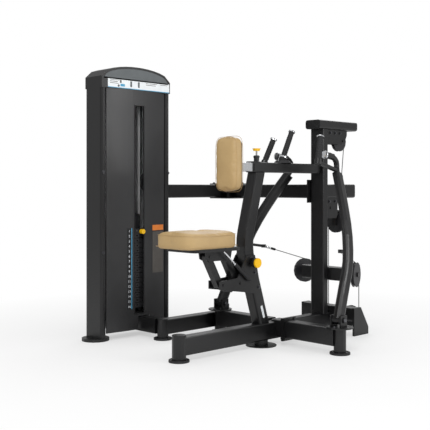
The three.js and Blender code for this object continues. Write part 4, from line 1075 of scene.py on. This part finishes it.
@dataclass
class Cables(SubAssembly):
    """The cables, split into stretches where they leave a moving part.

    Places are in the source's millimetres; the lengths that say metres are in metres.
    """

    lift: Pair = (-285, 812)
    lift_span: Pair = (776, 1556)
    lift_top: float = 1559
    near: float = 6
    drop_x: Pair = (740, 775)
    drop_top: float = 976
    drop_start: Triple = (757, 0, 790)
    drop_end: Triple = (766, 0, 974)
    loop_x: float = 740
    loop_reach: float = 64
    loop_foot: float = 110
    loop_start: Triple = (757, 0, 700)
    loop_end: Triple = (757, 0, 112)
    eye: Triple = (398.0, 307.0, 550.0)
    tangent: Triple = (650.0, 218.0, 452.0)
    longest_metres: float = 0.05
    fork_metres: float = 0.026
    fork_slack_metres: float = 0.018
    weld_metres: float = 1e-6
    cuts: int = 6

    def build(self) -> list[bpy.types.Object]:
        """Split both cables.

        Returns:
            The stretches.
        """
        return [*self._split("stack_cable", self._stack()), *self._split("row_cable", self._row())]

    def _stack(self) -> tuple[CableStretch, ...]:
        """Give the stretches of the cable from the weights to the floating pulley block."""
        x, y = self.lift
        low, high = self.lift_span

        def lifts(place: Vector) -> bool:
            """Tell whether a place is on the upright run over the weights."""
            return (abs(place.x - x) < self.near and abs(place.y - y) < self.near
                    and place.z < self.lift_top)

        def drops(place: Vector) -> bool:
            """Tell whether a place is on the run above the block."""
            return (abs(place.y) < self.near and self.drop_x[0] < place.x < self.drop_x[1]
                    and place.z < self.drop_top)

        return (
            CableStretch("stack_cable_lift", lifts, "stack_lift", (x, y, low), (x, y, high)),
            CableStretch("stack_cable_drop", drops, "float_block", self.drop_start,
                         self.drop_end),
            CableStretch("stack_cable_run", lambda place: True),
        )

    def _row(self) -> tuple[CableStretch, ...]:
        """Give the stretches of the cable between the two arms."""
        eye_x, eye_y, eye_z = self.eye
        end_x, end_y, end_z = self.tangent

        def loops(place: Vector) -> bool:
            """Tell whether a place is on the loop under the block."""
            return (place.x > self.loop_x and abs(place.y) < self.loop_reach
                    and place.z > self.loop_foot)

        def pulled(side: int) -> Callable[[Vector], bool]:
            """Give the test for the run to the arm of one side."""
            return lambda place: place.x < end_x and place.y * side > 0

        return (
            CableStretch("row_cable_loop", loops, "float_block", self.loop_start, self.loop_end),
            *(CableStretch(f"row_cable_{label}", pulled(side), f"arm_{label}",
                           (eye_x, side * eye_y, eye_z), (end_x, side * end_y, end_z))
              for label, side in SIDES),
            CableStretch("row_cable_run", lambda place: True),
        )

    def _split(self, node: str, stretches: Sequence[CableStretch]) -> list[bpy.types.Object]:
        """Split a cable's solid into its stretches.

        Args:
            node: the cable's CAD node.
            stretches: the stretches, of which the first that holds a face takes it.

        Returns:
            One piece for each stretch.
        """
        source = self.frame["nodes"][node]
        made = []
        for stretch in stretches:
            mesh = bmesh.new()
            mesh.from_mesh(source.data)
            mesh.transform(source.matrix_world)
            bmesh.ops.remove_doubles(mesh, verts=mesh.verts, dist=self.weld_metres)
            self._subdivide(mesh)
            others = []
            for face in mesh.faces:
                middle = self._machine(face.calc_center_median())
                owner = next(item for item in stretches if item.holds(middle))
                if owner is not stretch:
                    others.append(face)
            bmesh.ops.delete(mesh, geom=others, context="FACES")
            made.append(self._finish(node, stretch, mesh))
        return made

    def _subdivide(self, mesh: bmesh.types.BMesh) -> None:
        """Cut a cable's long edges, so that it can bend."""
        for _ in range(self.cuts):
            long = [edge for edge in mesh.edges if edge.calc_length() > self.longest_metres]
            if not long:
                break
            bmesh.ops.subdivide_edges(mesh, edges=long, cuts=1, use_grid_fill=True)

    @staticmethod
    def _machine(point: Vector) -> Vector:
        """Turn a place in the row frame into the source's millimetres."""
        return Vector((point.x / MM + ORIGIN_X_MM, point.y / MM + ORIGIN_Y_MM, point.z / MM))

    def _finish(self, node: str, stretch: CableStretch,
                mesh: bmesh.types.BMesh) -> bpy.types.Object:
        """Make a stretch's piece, on the frame for a fixed stretch and on no body for a moving
        one.

        Args:
            node: the cable's CAD node.
            stretch: the stretch.
            mesh: its mesh.

        Returns:
            The piece.
        """
        body = None if stretch.moving else "frame"
        made = self.make(stretch.name, mesh, Moulded.CABLE, "cable_jacket", body)
        if stretch.moving and stretch.moving.startswith("arm"):
            made.data.materials.append(self.palette.get(Plated.CHROME))
            eye = at(*stretch.start)
            for face in made.data.polygons:
                if (face.center - eye).length < self.fork_metres + self.fork_slack_metres:
                    face.material_index = 1
        if stretch.moving:
            at(*stretch.start)
            at(*stretch.end)
            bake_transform(made)
        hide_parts(node)
        return made


@dataclass(frozen=True)
class PanelShape:
    """The bowed front of the weight tower, in millimetres."""

    low_x: float = -534
    high_x: float = -76
    edge_y: float = 738
    bow: float = 15

    def face(self, x: float) -> float:
        """Give how far forward the panel lies.

        Args:
            x: place across the panel.

        Returns:
            The Y of its outer face.
        """
        centre = (self.low_x + self.high_x) / 2
        across = (x - centre) / ((self.high_x - self.low_x) / 2)
        return self.edge_y - self.bow * (1 - across * across)


@dataclass(frozen=True)
class Strip:
    """A thin piece on the tower's front, in millimetres.

    Its lift is how far its back stands before the bowed panel. A flat strip has a radius at its
    corners and a face, which is the Y of its back.
    """

    name: str
    x: Pair
    z: Pair
    thick: float
    finish: Enum
    lift: float = 0.0
    face: float = 726.8
    radius: float = 1.2


@dataclass
class TowerDressing(SubAssembly):
    """Labels, numerals, slot trim, placard and cap face on the weight tower, in millimetres."""

    panel: PanelShape = PanelShape()
    bow_steps: int = 12
    strip_bevel: float = 0.25
    bevel_angle: float = 1.0
    plate_bevel: float = 0.2
    plates: int = 16
    pitch: float = 31.0
    first_z: float = 192.0
    numeral_x: float = -370
    numeral_stand: float = 1.1
    numeral_metres: float = 0.021
    numeral_depth_metres: float = 0.0003
    cap_centre: float = -305.0
    cap_half: float = 270.0
    cap_spring: float = 1600
    cap_top: float = 1673
    cap_front: float = 728
    cap_inset: float = 14.0
    cap_low: float = 1594.0
    cap_thick: float = 1.5
    arch_steps: int = 24

    BOWED: ClassVar[tuple[Strip, ...]] = (
        Strip("label_orange", (-182, -86), (656, 690), 0.9, Moulded.LABEL_ORANGE),
        Strip("label_grey", (-182, -86), (388, 648), 0.9, Moulded.LABEL_GREY),
        Strip("number_strip", (-386, -346), (176, 676), 0.8, Moulded.CAP),
        Strip("number_strip_line", (-354, -349), (176, 676), 0.5, Moulded.PLACARD_BLUE, lift=0.8),
    )
    SLOT_TRIM: ClassVar[tuple[Strip, ...]] = (
        Strip("slot_trim_left", (-331, -327), (141, 1438), 3.0, Moulded.CAP),
        Strip("slot_trim_right", (-255, -251), (141, 1438), 3.0, Moulded.CAP),
        Strip("slot_trim_top", (-331, -251), (1434, 1438), 3.2, Moulded.CAP),
        Strip("slot_trim_bottom", (-331, -251), (141, 145), 3.2, Moulded.CAP),
    )
    PLACARD: ClassVar[tuple[Strip, ...]] = (
        Strip("cap_placard", (-530, -42), (1534, 1590), 1.2, Moulded.PLACARD_WHITE, face=728,
              radius=4.0),
        Strip("cap_placard_band", (-530, -42), (1534, 1538), 0.4, Moulded.PLACARD_BLUE,
              radius=1.5),
        Strip("cap_placard_blue_field", (-436, -402), (1545, 1561), 0.4, Moulded.PLACARD_BLUE),
        Strip("cap_placard_first_field", (-440, -428), (1566, 1584), 0.4, Moulded.LABEL_GREY),
        Strip("cap_placard_second_field", (-360, -346), (1548, 1582), 0.4, Moulded.PLACARD_GREY),
        Strip("cap_placard_third_field", (-300, -286), (1548, 1582), 0.4, Moulded.PLACARD_GREY),
        Strip("cap_placard_fourth_field", (-516, -446), (1580, 1583), 0.4, Moulded.LABEL_GREY),
        Strip("cap_placard_fifth_field", (-516, -456), (1570, 1573), 0.4, Moulded.LABEL_GREY),
        Strip("cap_placard_sixth_field", (-516, -450), (1560, 1563), 0.4, Moulded.LABEL_GREY),
        Strip("cap_placard_seventh_field", (-236, -146), (1578, 1581), 0.4, Moulded.LABEL_GREY),
        Strip("cap_placard_eighth_field", (-236, -156), (1568, 1571), 0.4, Moulded.LABEL_GREY),
        Strip("cap_placard_ninth_field", (-120, -62), (1578, 1581), 0.4, Moulded.LABEL_GREY),
    )

    def build(self) -> list[bpy.types.Object]:
        """Make the labels, the numbers, the slot's trim and the cap's front.

        Returns:
            The pieces.
        """
        return [*map(self._bowed, self.BOWED), *self._numbers(),
                *map(self._bowed, self.SLOT_TRIM), self._cap_face(),
                *map(self._flat, self.PLACARD)]

    def _bowed(self, strip: Strip) -> bpy.types.Object:
        """Make a strip that follows the bowed panel.

        Args:
            strip: its sizes.

        Returns:
            The piece.
        """
        mesh = bmesh.new()
        rows = []
        for k in range(self.bow_steps + 1):
            x = strip.x[0] + (strip.x[1] - strip.x[0]) * k / self.bow_steps
            near = self.panel.face(x) - strip.lift
            far = near - strip.thick
            rows.append([mesh.verts.new(at(x, y, z)) for y, z in (
                (near, strip.z[0]), (near, strip.z[1]), (far, strip.z[1]), (far, strip.z[0]))])
        skin(mesh, rows[::-1])
        sharp = [edge for edge in mesh.edges if edge.calc_face_angle(0) > self.bevel_angle]
        bmesh.ops.bevel(mesh, geom=sharp, offset=self.strip_bevel * MM, segments=1,
                        affect="EDGES")
        return self.make(strip.name, mesh, strip.finish, "shroud_paint")

    def _flat(self, strip: Strip) -> bpy.types.Object:
        """Make a flat strip with rounded corners.

        Args:
            strip: its sizes.

        Returns:
            The piece.
        """
        (left, right), (low, high) = strip.x, strip.z
        mesh = rounded_plate(right - left, high - low, strip.thick, strip.radius,
                             self.plate_bevel)
        place = at((left + right) / 2, strip.face, (low + high) / 2)
        mesh.transform(Matrix.Translation(place))
        return self.make(strip.name, mesh, strip.finish, "shroud_paint")

    def _numbers(self) -> list[bpy.types.Object]:
        """Make the numeral beside each weight plate.

        Returns:
            The numerals, from the top plate down.
        """
        made = []
        for k in range(self.plates):
            height = self.first_z + (self.plates - 1 - k) * self.pitch
            name = f"numeral_{k + 1:02d}"
            curve = bpy.data.curves.new(name, "FONT")
            curve.body = str(k + 1)
            curve.size = self.numeral_metres
            curve.extrude = self.numeral_depth_metres
            curve.align_x = "CENTER"
            curve.align_y = "CENTER"
            text = bpy.data.objects.new(name, curve)
            bpy.context.scene.collection.objects.link(text)
            face = self.panel.face(self.numeral_x) - self.numeral_stand
            place = Matrix.Translation(at(self.numeral_x, face, height))
            text.matrix_world = place @ Matrix.Rotation(math.pi / 2, 4, "X")
            bpy.context.view_layer.update()
            mesh = bmesh.new()
            mesh.from_mesh(text.evaluated_get(bpy.context.evaluated_depsgraph_get()).to_mesh())
            mesh.transform(text.matrix_world)
            bpy.data.objects.remove(text)
            made.append(self.make(f"{name}_mark", mesh, Moulded.NUMERAL, "shroud_paint",
                                  smooth=False))
        return made

    def _cap_face(self) -> bpy.types.Object:
        """Make the arched face of the tower's cap.

        Returns:
            The piece.
        """
        half = self.cap_half - self.cap_inset
        outline = [(self.cap_centre - half, self.cap_low)]
        for k in range(self.arch_steps + 1):
            across = k / self.arch_steps * 2 - 1
            rise = (self.cap_top - self.cap_spring) * math.sqrt(max(0.0, 1 - across * across))
            outline.append((self.cap_centre + across * half,
                            self.cap_spring - self.cap_inset + rise))
        outline.append((self.cap_centre + half, self.cap_low))
        mesh = bmesh.new()
        skin(mesh, [[mesh.verts.new(at(x, y, z)) for x, z in outline]
                    for y in (self.cap_front, self.cap_front - self.cap_thick)])
        return self.make("cap_face", mesh, Moulded.PLACARD_GREY, "shroud_paint")


@dataclass
class GripCaps(SubAssembly):
    """Chromed caps, collars and rubber ribs on the handles, in millimetres."""

    foot: Triple = (300, 216, 1075)
    rise: Triple = (58, -27, 148)
    grip_length: float = 165
    grip_cap: Pair = (22.6, 10)
    handle_tip: Triple = (400, 189, 1124)
    handle_back: Triple = (-0.996, 0.04, 0.08)
    handle_cap: Pair = (25.2, 9.5)
    centre_low: Triple = (231, 0, 1098)
    centre_high: Triple = (314, 0, 1263)
    centre_cap: Pair = (20.8, 10)
    centre_ribs: int = 9
    centre_pitch: float = 13
    arm_ribs: int = 8
    arm_pitch: float = 15
    first_rib: float = 34
    collar_start: float = 4
    cap_sink: float = 0.5
    centre_collar: Hoop = Hoop(bore=20.5, rim=24.5, width=15, soft=2, soft_end=3)
    centre_rib: Hoop = Hoop(bore=15.8, rim=17.1, width=10, soft=1.5)
    arm_rib: Hoop = Hoop(bore=16.8, rim=18.2, width=12, soft=1.5)

    DOME: ClassVar[tuple[Pair, ...]] = ((1, 0.7), (0.94, 0.92), (0.8, 1), (0.3, 1.1), (0, 1.12))

    def _cap(self, name: str, start: Vector, along: Vector, size: Pair,
             body: str) -> bpy.types.Object:
        """Make a domed cap.

        Args:
            name: the piece's name.
            start: the middle of its foot, in metres.
            along: the way that it points.
            size: its radius and length, in millimetres.
            body: the body that carries it.

        Returns:
            The cap.
        """
        radius, length = size[0] * MM, size[1] * MM
        sunk = -self.cap_sink * MM
        dome = [(radius * out, length * up) for out, up in self.DOME]
        mesh = turned([(0.0, sunk), (radius, sunk), *dome], start, along)
        return self.make(name, mesh, Plated.CHROME, "polished_steel", body)

    def build(self) -> list[bpy.types.Object]:
        """Make the caps, then the ribs.

        Returns:
            The pieces.
        """
        made = []
        foot, rise = Vector(self.foot), Vector(self.rise).normalized()
        for label, side in SIDES:
            mirror = Vector((1, side, 1))
            top = (foot + rise * self.grip_length) * mirror
            body = f"arm_{label}"
            made.append(self._cap(f"grip_cap_{label}", at(*top), rise * mirror, self.grip_cap,
                                  body))
            made.append(self._cap(f"handle_cap_{label}", at(*Vector(self.handle_tip) * mirror),
                                  Vector(self.handle_back) * mirror, self.handle_cap, body))
        low, high = Vector(self.centre_low), Vector(self.centre_high)
        along = (high - low).normalized()
        made.append(self._cap("centre_grip_cap", at(*high), along, self.centre_cap, "frame"))
        collar = turned(self.centre_collar.profile(), at(*(low + along * self.collar_start)),
                        along)
        made.append(self.make("centre_grip_collar", collar, Plated.CHROME, "polished_steel"))
        for k in range(self.centre_ribs):
            start = low + along * (self.first_rib + self.centre_pitch * k)
            ring = turned(self.centre_rib.profile(), at(*start), along)
            made.append(self.make(f"centre_grip_rib_{k + 1}", ring, Moulded.RUBBER, "rubber"))
        for label, side in SIDES:
            mirror = Vector((1, side, 1))
            for k in range(self.arm_ribs):
                start = (foot + rise * (self.first_rib + self.arm_pitch * k)) * mirror
                ring = turned(self.arm_rib.profile(), at(*start), rise * mirror)
                made.append(self.make(f"grip_rib_{label}_{k + 1}", ring, Moulded.RUBBER,
                                      "rubber", f"arm_{label}"))
        return made


@dataclass(frozen=True)
class BoltPart:
    """One drum of a bolt head, in metres."""

    name: str
    radius: float
    depth: float
    lift: float
    sides: int


@dataclass(frozen=True)
class BoltGroup:
    """Bolt heads that point the same way, at places in the source's millimetres."""

    name: str
    turn: Triple
    places: tuple[Triple, ...]


@dataclass
class Fasteners(SubAssembly):
    """Bolt heads with washers, placed by Geometry Nodes and then made real."""

    PARTS: ClassVar[tuple[BoltPart, ...]] = (
        BoltPart("Washer", radius=0.0105, depth=0.002, lift=0.001, sides=28),
        BoltPart("Hexagon", radius=0.0075, depth=0.0055, lift=0.0045, sides=6),
        BoltPart("Crown", radius=0.0048, depth=0.0066, lift=0.005, sides=20),
    )
    GROUPS: ClassVar[tuple[BoltGroup, ...]] = (
        BoltGroup("right_side", (math.pi / 2, 0, 0), (
            (-561, 732, 1020), (-561, 732, 534), (-49, 732, 1020), (-49, 732, 534),
            (-92, -46, 522), (-62, -46, 440), (-30, -46, 352), (-450, 732, 1548),
            (650, -38, 1275), (700, -38, 1275), (750, -38, 1275), (640, -38, 838),
            (700, -38, 838),
        )),
        BoltGroup("left_side", (-math.pi / 2, 0, 0), (
            (-92, 46, 522), (-62, 46, 440), (-30, 46, 352), (-400, 897, 1400),
            (-200, 897, 1400), (-400, 897, 200), (-200, 897, 200), (650, 38, 1275),
            (700, 38, 1275), (750, 38, 1275), (640, 38, 838), (700, 38, 838),
        )),
        BoltGroup("upward", (0, 0, 0), (
            (455, 690, 955), (455, 825, 955), (600, 690, 955), (600, 825, 955),
            (120, -474.7, 153), (120, 474.7, 153),
        )),
    )

    def build(self) -> list[bpy.types.Object]:
        """Make each group of heads.

        Returns:
            One object for each group.
        """
        return [self._group(group) for group in self.GROUPS]

    def _tree(self, group: BoltGroup) -> tuple[bpy.types.NodeTree, dict[str, float]]:
        """Build the tree that places one bolt head on each point.

        Args:
            group: the group of heads.

        Returns:
            The tree, and the value of each of its inputs by the input's identifier.
        """
        group_tree = bpy.data.node_groups.new(f"bolts_{group.name}", "GeometryNodeTree")
        ports = group_tree.interface
        for way in ("INPUT", "OUTPUT"):
            ports.new_socket("Geometry", in_out=way, socket_type="NodeSocketGeometry")
        values = {}
        for part in self.PARTS:
            for size in ("radius", "depth", "lift"):
                socket = ports.new_socket(f"{part.name} {size}", in_out="INPUT",
                                          socket_type="NodeSocketFloat")
                values[socket.identifier] = getattr(part, size)
        tree = Tree(group_tree)
        enter = tree.node("NodeGroupInput")
        heads = []
        for part in self.PARTS:
            drum = tree.node("GeometryNodeMeshCylinder", {}, {
                "Vertices": part.sides, "Radius": enter.outputs[f"{part.name} radius"],
                "Depth": enter.outputs[f"{part.name} depth"]})
            lift = tree.node("ShaderNodeCombineXYZ", {}, {
                "Z": enter.outputs[f"{part.name} lift"]})
            moved = tree.node("GeometryNodeTransform", {}, {
                "Translation": lift.outputs["Vector"], "Geometry": drum.outputs["Mesh"]})
            heads.append(moved.outputs["Geometry"])
        head = tree.node("GeometryNodeJoinGeometry", {}, {"Geometry": heads})
        points = tree.node("GeometryNodeMeshToPoints", {}, {"Mesh": enter.outputs["Geometry"]})
        placed = tree.node("GeometryNodeInstanceOnPoints", {}, {
            "Points": points.outputs["Points"], "Instance": head.outputs["Geometry"],
            "Rotation": group.turn})
        real = tree.node("GeometryNodeRealizeInstances", {}, {
            "Geometry": placed.outputs["Instances"]})
        paint = tree.node("GeometryNodeSetMaterial", {}, {
            "Geometry": real.outputs["Geometry"], "Material": self.palette.get(Plated.ZINC)})
        tree.node("NodeGroupOutput", {}, {"Geometry": paint.outputs["Geometry"]})
        return group_tree, values

    def _group(self, group: BoltGroup) -> bpy.types.Object:
        """Place one bolt head on each listed place.

        Args:
            group: the group of heads.

        Returns:
            One object with all its heads.
        """
        points = bpy.data.meshes.new(f"bolts_{group.name}_points")
        points.from_pydata([at(*place) for place in group.places], [], [])
        carrier = bpy.data.objects.new(f"bolts_{group.name}_carrier", points)
        bpy.context.scene.collection.objects.link(carrier)
        modifier = carrier.modifiers.new("place", "NODES")
        modifier.node_group, values = self._tree(group)
        for identifier, value in values.items():
            modifier[identifier] = value
        bpy.context.view_layer.update()
        graph = bpy.context.evaluated_depsgraph_get()
        real = bpy.data.meshes.new_from_object(carrier.evaluated_get(graph))
        made = bpy.data.objects.new(f"bolts_{group.name}_heads", real)
        bpy.context.scene.collection.objects.link(made)
        bpy.data.objects.remove(carrier)
        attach(made, "frame")
        return made


@dataclass
class TubeTrim(SubAssembly):
    """End caps, foot pads, collars and the pale plate on the upright, in millimetres.

    A disc's shoulder and soft edge, and a foot's bore, lip and brim, are shares of its size.
    """

    disc_thick: float = 3.0
    disc_shoulder: float = 0.5
    disc_soft: float = 0.93
    disc_sink: float = 0.3
    foot_top: float = 12.0
    foot_wrap: float = 0.6
    foot_bore: float = 0.78
    foot_lip: float = 0.8
    foot_lip_rise: float = 1.5
    foot_brim: float = 0.98
    foot_brim_rise: float = 0.8
    foot_soft: float = 1.0
    foot_sole: float = 0.2
    hub: Triple = (170, 465, 190)
    hub_half: float = 27
    hub_gap: float = 1
    cheek: float = 10
    boss: float = 6
    nut_radius: float = 12.5
    nut_shoulder: float = 3.0
    nut_top: Pair = (9.0, 4.2)
    nut_sides: int = 6
    pin_collar: Hoop = Hoop(bore=16.4, rim=18.5, width=12, soft=2)
    pin_collar_place: Triple = (0, 0, 1100)
    plate_place: Triple = (12, -38, 205)
    plate_lean: Pair = (-186, 581)

    DISCS: ClassVar[tuple[tuple[str, Triple, float], ...]] = (
        ("front_post_cap", (-605, 0, 141), 38.4),
        ("side_post_cap", (-252, 545, 125), 34.4),
    )
    FEET: ClassVar[tuple[tuple[str, Pair, float], ...]] = (
        ("foot_pad_front", (-605, 0), 56.0),
        ("foot_pad_right", (170, -474.7), 57.0),
        ("foot_pad_left", (170, 474.7), 57.0),
        ("foot_pad_side", (-252, 545), 55.0),
    )

    def build(self) -> list[bpy.types.Object]:
        """Make the caps, the pads, the plate and the collars.

        Returns:
            The pieces.
        """
        return [*self._discs(), *self._feet(), self._plate(), *self._collars()]

    def _discs(self) -> list[bpy.types.Object]:
        """Make the caps on the upright posts.

        Returns:
            The caps.
        """
        made = []
        thick, sunk = self.disc_thick * MM, -self.disc_sink * MM
        for name, place, size in self.DISCS:
            radius = size * MM
            profile = [(0.0, sunk), (radius, sunk), (radius, thick * self.disc_shoulder),
                       (radius * self.disc_soft, thick), (0.0, thick)]
            made.append(self.make(name, turned(profile, at(*place), UPWARDS), Moulded.CAP,
                                  "rubber"))
        return made

    def _feet(self) -> list[bpy.types.Object]:
        """Make the rubber pads that wrap the feet.

        Returns:
            The pads.
        """
        made = []
        top, wrap = self.foot_top, self.foot_wrap
        for name, (x, y), size in self.FEET:
            profile = [(size * self.foot_bore, top),
                       (size * self.foot_lip, top + self.foot_lip_rise),
                       (size * self.foot_brim, top + self.foot_brim_rise),
                       (size + wrap, top - self.foot_soft), (size + wrap, wrap),
                       (size - self.foot_soft, self.foot_sole)]
            metres = [(radius * MM, height * MM) for radius, height in profile]
            made.append(self.make(name, turned(metres, at(x, y, 0), UPWARDS), Moulded.CAP,
                                  "rubber"))
        return made

    def _plate(self) -> bpy.types.Object:
        """Make the pale plate on the leaning upright.

        Returns:
            The plate.
        """
        plate = rounded_plate(width=16, height=74, thick=1.2, radius=2, bevel=0.3)
        lean = Matrix.Rotation(math.atan2(*self.plate_lean), 4, "Y")
        plate.transform(Matrix.Translation(at(*self.plate_place)) @ lean)
        return self.make("upright_plate", plate, Moulded.PLACARD_WHITE, "shroud_paint")

    def _collars(self) -> list[bpy.types.Object]:
        """Make the chest pin's collar and the nuts on the arms' pivots.

        Returns:
            The pieces.
        """
        barrel = turned(self.pin_collar.profile(), at(*self.pin_collar_place), UPWARDS)
        made = [self.make("chest_pin_collar", barrel, Moulded.CAP, "frame_paint")]
        x, y, z = self.hub
        reach = self.hub_half + self.hub_gap + self.cheek + self.boss
        profile = ((0.0, 0.0), (self.nut_radius, 0.0), (self.nut_radius, self.nut_shoulder),
                   self.nut_top, (0.0, self.nut_top[1]))
        nut = [(radius * MM, distance * MM) for radius, distance in profile]
        for label, side in SIDES:
            for end, way in (("inner", -1), ("outer", 1)):
                start = at(x, (y + way * reach) * side, z)
                mesh = turned(nut, start, Vector((0, way * side, 0)), self.nut_sides)
                made.append(self.make(f"pivot_cap_{label}_{end}", mesh, Plated.ZINC,
                                      "polished_steel", smooth=False))
        return made


# ---------- studio ----------


@dataclass(frozen=True)
class Lamp:
    """One soft rectangular lamp, in metres and watts."""

    name: str
    place: Triple
    aim: Triple
    size: float
    power: float


@dataclass
class Studio:
    """Pale floor, soft lamps, world and the camera at the photograph's view."""

    ambient: float = 0.5
    background: float = 1.0
    floor_half: float = 9.0
    floor_z: float = -0.0005
    floor_tones: Pair = (0.9, 0.93)
    floor_roughness: float = 0.75
    floor_specular: float = 0.2
    floor_noise: Pair = (3.0, 3.0)
    glow_range: Pair = (0.9, 2.6)
    glow_least: float = 0.5
    sensor_mm: float = 36.0
    photo_width_px: float = 430
    focal_px: float = 812
    shift_px: float = -28
    camera_far: float = 60.0
    camera_place: Triple = (-3480, -3228, 930)
    camera_way: Triple = (0.6975, 0.7166, 0.0)

    LAMPS: ClassVar[tuple[Lamp, ...]] = (
        Lamp("key_lamp", (-3.4, -2.6, 3.4), aim=(0.0, 0.0, 0.8), size=1.8, power=112.0),
        Lamp("fill_lamp", (1.6, -4.0, 2.0), aim=(0.1, 0.0, 0.8), size=1.6, power=45.0),
        Lamp("rim_lamp", (3.0, 2.4, 3.2), aim=(0.0, 0.0, 0.8), size=2.6, power=42.0),
        Lamp("top_lamp", (0.0, 0.0, 4.6), aim=(0.0, 0.0, 0.0), size=2.4, power=22.0),
    )

    def build(self) -> None:
        """Make the floor, the lamps, the world and the camera."""
        self._world()
        self._floor()
        for lamp in self.LAMPS:
            self._lamp(lamp)
        self._camera()

    def _world(self) -> None:
        """Light the machine from all round, before a white background."""
        world = bpy.data.worlds.new("studio")
        world.use_nodes = True
        world.node_tree.nodes.clear()
        tree = Tree(world.node_tree)
        rays = tree.node("ShaderNodeLightPath")
        lights = [tree.node("ShaderNodeBackground", {}, {
            "Color": (1, 1, 1, 1), "Strength": strength}).outputs[0]
            for strength in (self.ambient, self.background)]
        mix = tree.node("ShaderNodeMixShader", {}, {
            0: rays.outputs["Is Camera Ray"], 1: lights[0], 2: lights[1]})
        tree.node("ShaderNodeOutputWorld", {}, {"Surface": mix.outputs[0]})
        bpy.context.scene.world = world

    def _floor(self) -> None:
        """Make the pale floor, which fades into the background and keeps the shadow."""
        mesh = bmesh.new()
        bmesh.ops.create_grid(mesh, x_segments=2, y_segments=2, size=self.floor_half)
        data = bpy.data.meshes.new("floor")
        mesh.to_mesh(data)
        mesh.free()
        floor = bpy.data.objects.new("floor", data)
        floor.location.z = self.floor_z
        bpy.context.scene.collection.objects.link(floor)
        surface = Surface("floor_pale")
        low, high = self.floor_tones
        grain = surface.noise(*self.floor_noise)
        surface.paint(Base_Color=surface.blend(grain, (low, low, low), (high, high, high)),
                      Roughness=self.floor_roughness, Specular_IOR_Level=self.floor_specular)
        rays = surface.node("ShaderNodeLightPath")
        glow = surface.node("ShaderNodeEmission", {}, {"Strength": self.background})
        away = (surface.part("X") ** 2.0 + surface.part("Y") ** 2.0) ** 0.5
        seen = Maths(surface, rays.outputs["Is Camera Ray"])
        share = seen * away.mapped(*self.glow_range, self.glow_least, 1.0)
        mix = surface.node("ShaderNodeMixShader", {}, {
            0: share, 1: surface.shader.outputs[0], 2: glow.outputs[0]})
        out = surface.tree.nodes["Material Output"]
        surface.feed(out.inputs["Surface"], mix.outputs[0])
        data.materials.append(surface.material)

    @staticmethod
    def _lamp(lamp: Lamp) -> None:
        """Hang one lamp.

        Args:
            lamp: its sizes.
        """
        light = bpy.data.lights.new(lamp.name, "AREA")
        light.shape = "SQUARE"
        light.size = lamp.size
        light.energy = lamp.power
        made = bpy.data.objects.new(lamp.name, light)
        made.location = lamp.place
        aim = Vector(lamp.aim) - Vector(lamp.place)
        made.rotation_euler = aim.to_track_quat("-Z", "Y").to_euler()
        bpy.context.scene.collection.objects.link(made)

    def _camera(self) -> None:
        """Put the camera where the photograph was taken."""
        camera = bpy.data.cameras.new("camera")
        camera.sensor_width = self.sensor_mm
        camera.lens = self.focal_px / self.photo_width_px * self.sensor_mm
        camera.shift_y = self.shift_px / self.photo_width_px
        camera.clip_end = self.camera_far
        made = bpy.data.objects.new("camera", camera)
        made.location = at(*self.camera_place)
        way = Vector(self.camera_way)
        made.rotation_euler = way.to_track_quat("-Z", "Y").to_euler()
        bpy.context.scene.collection.objects.link(made)
        bpy.context.scene.camera = made


def main() -> None:
    """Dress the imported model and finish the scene."""
    logging.basicConfig(level=logging.INFO, format="%(name)s: %(message)s")
    bpy.context.scene.view_settings.view_transform = "Standard"
    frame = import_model()
    palette = Palette()
    Studio().build()
    for group in (Coating, Cushions, Cables, TowerDressing, GripCaps, Fasteners, TubeTrim):
        made = group(frame, palette).build()
        LOG.info("%s: %s", group.__name__, ", ".join(item.name for item in made))


if __name__ == "__main__":
    main()
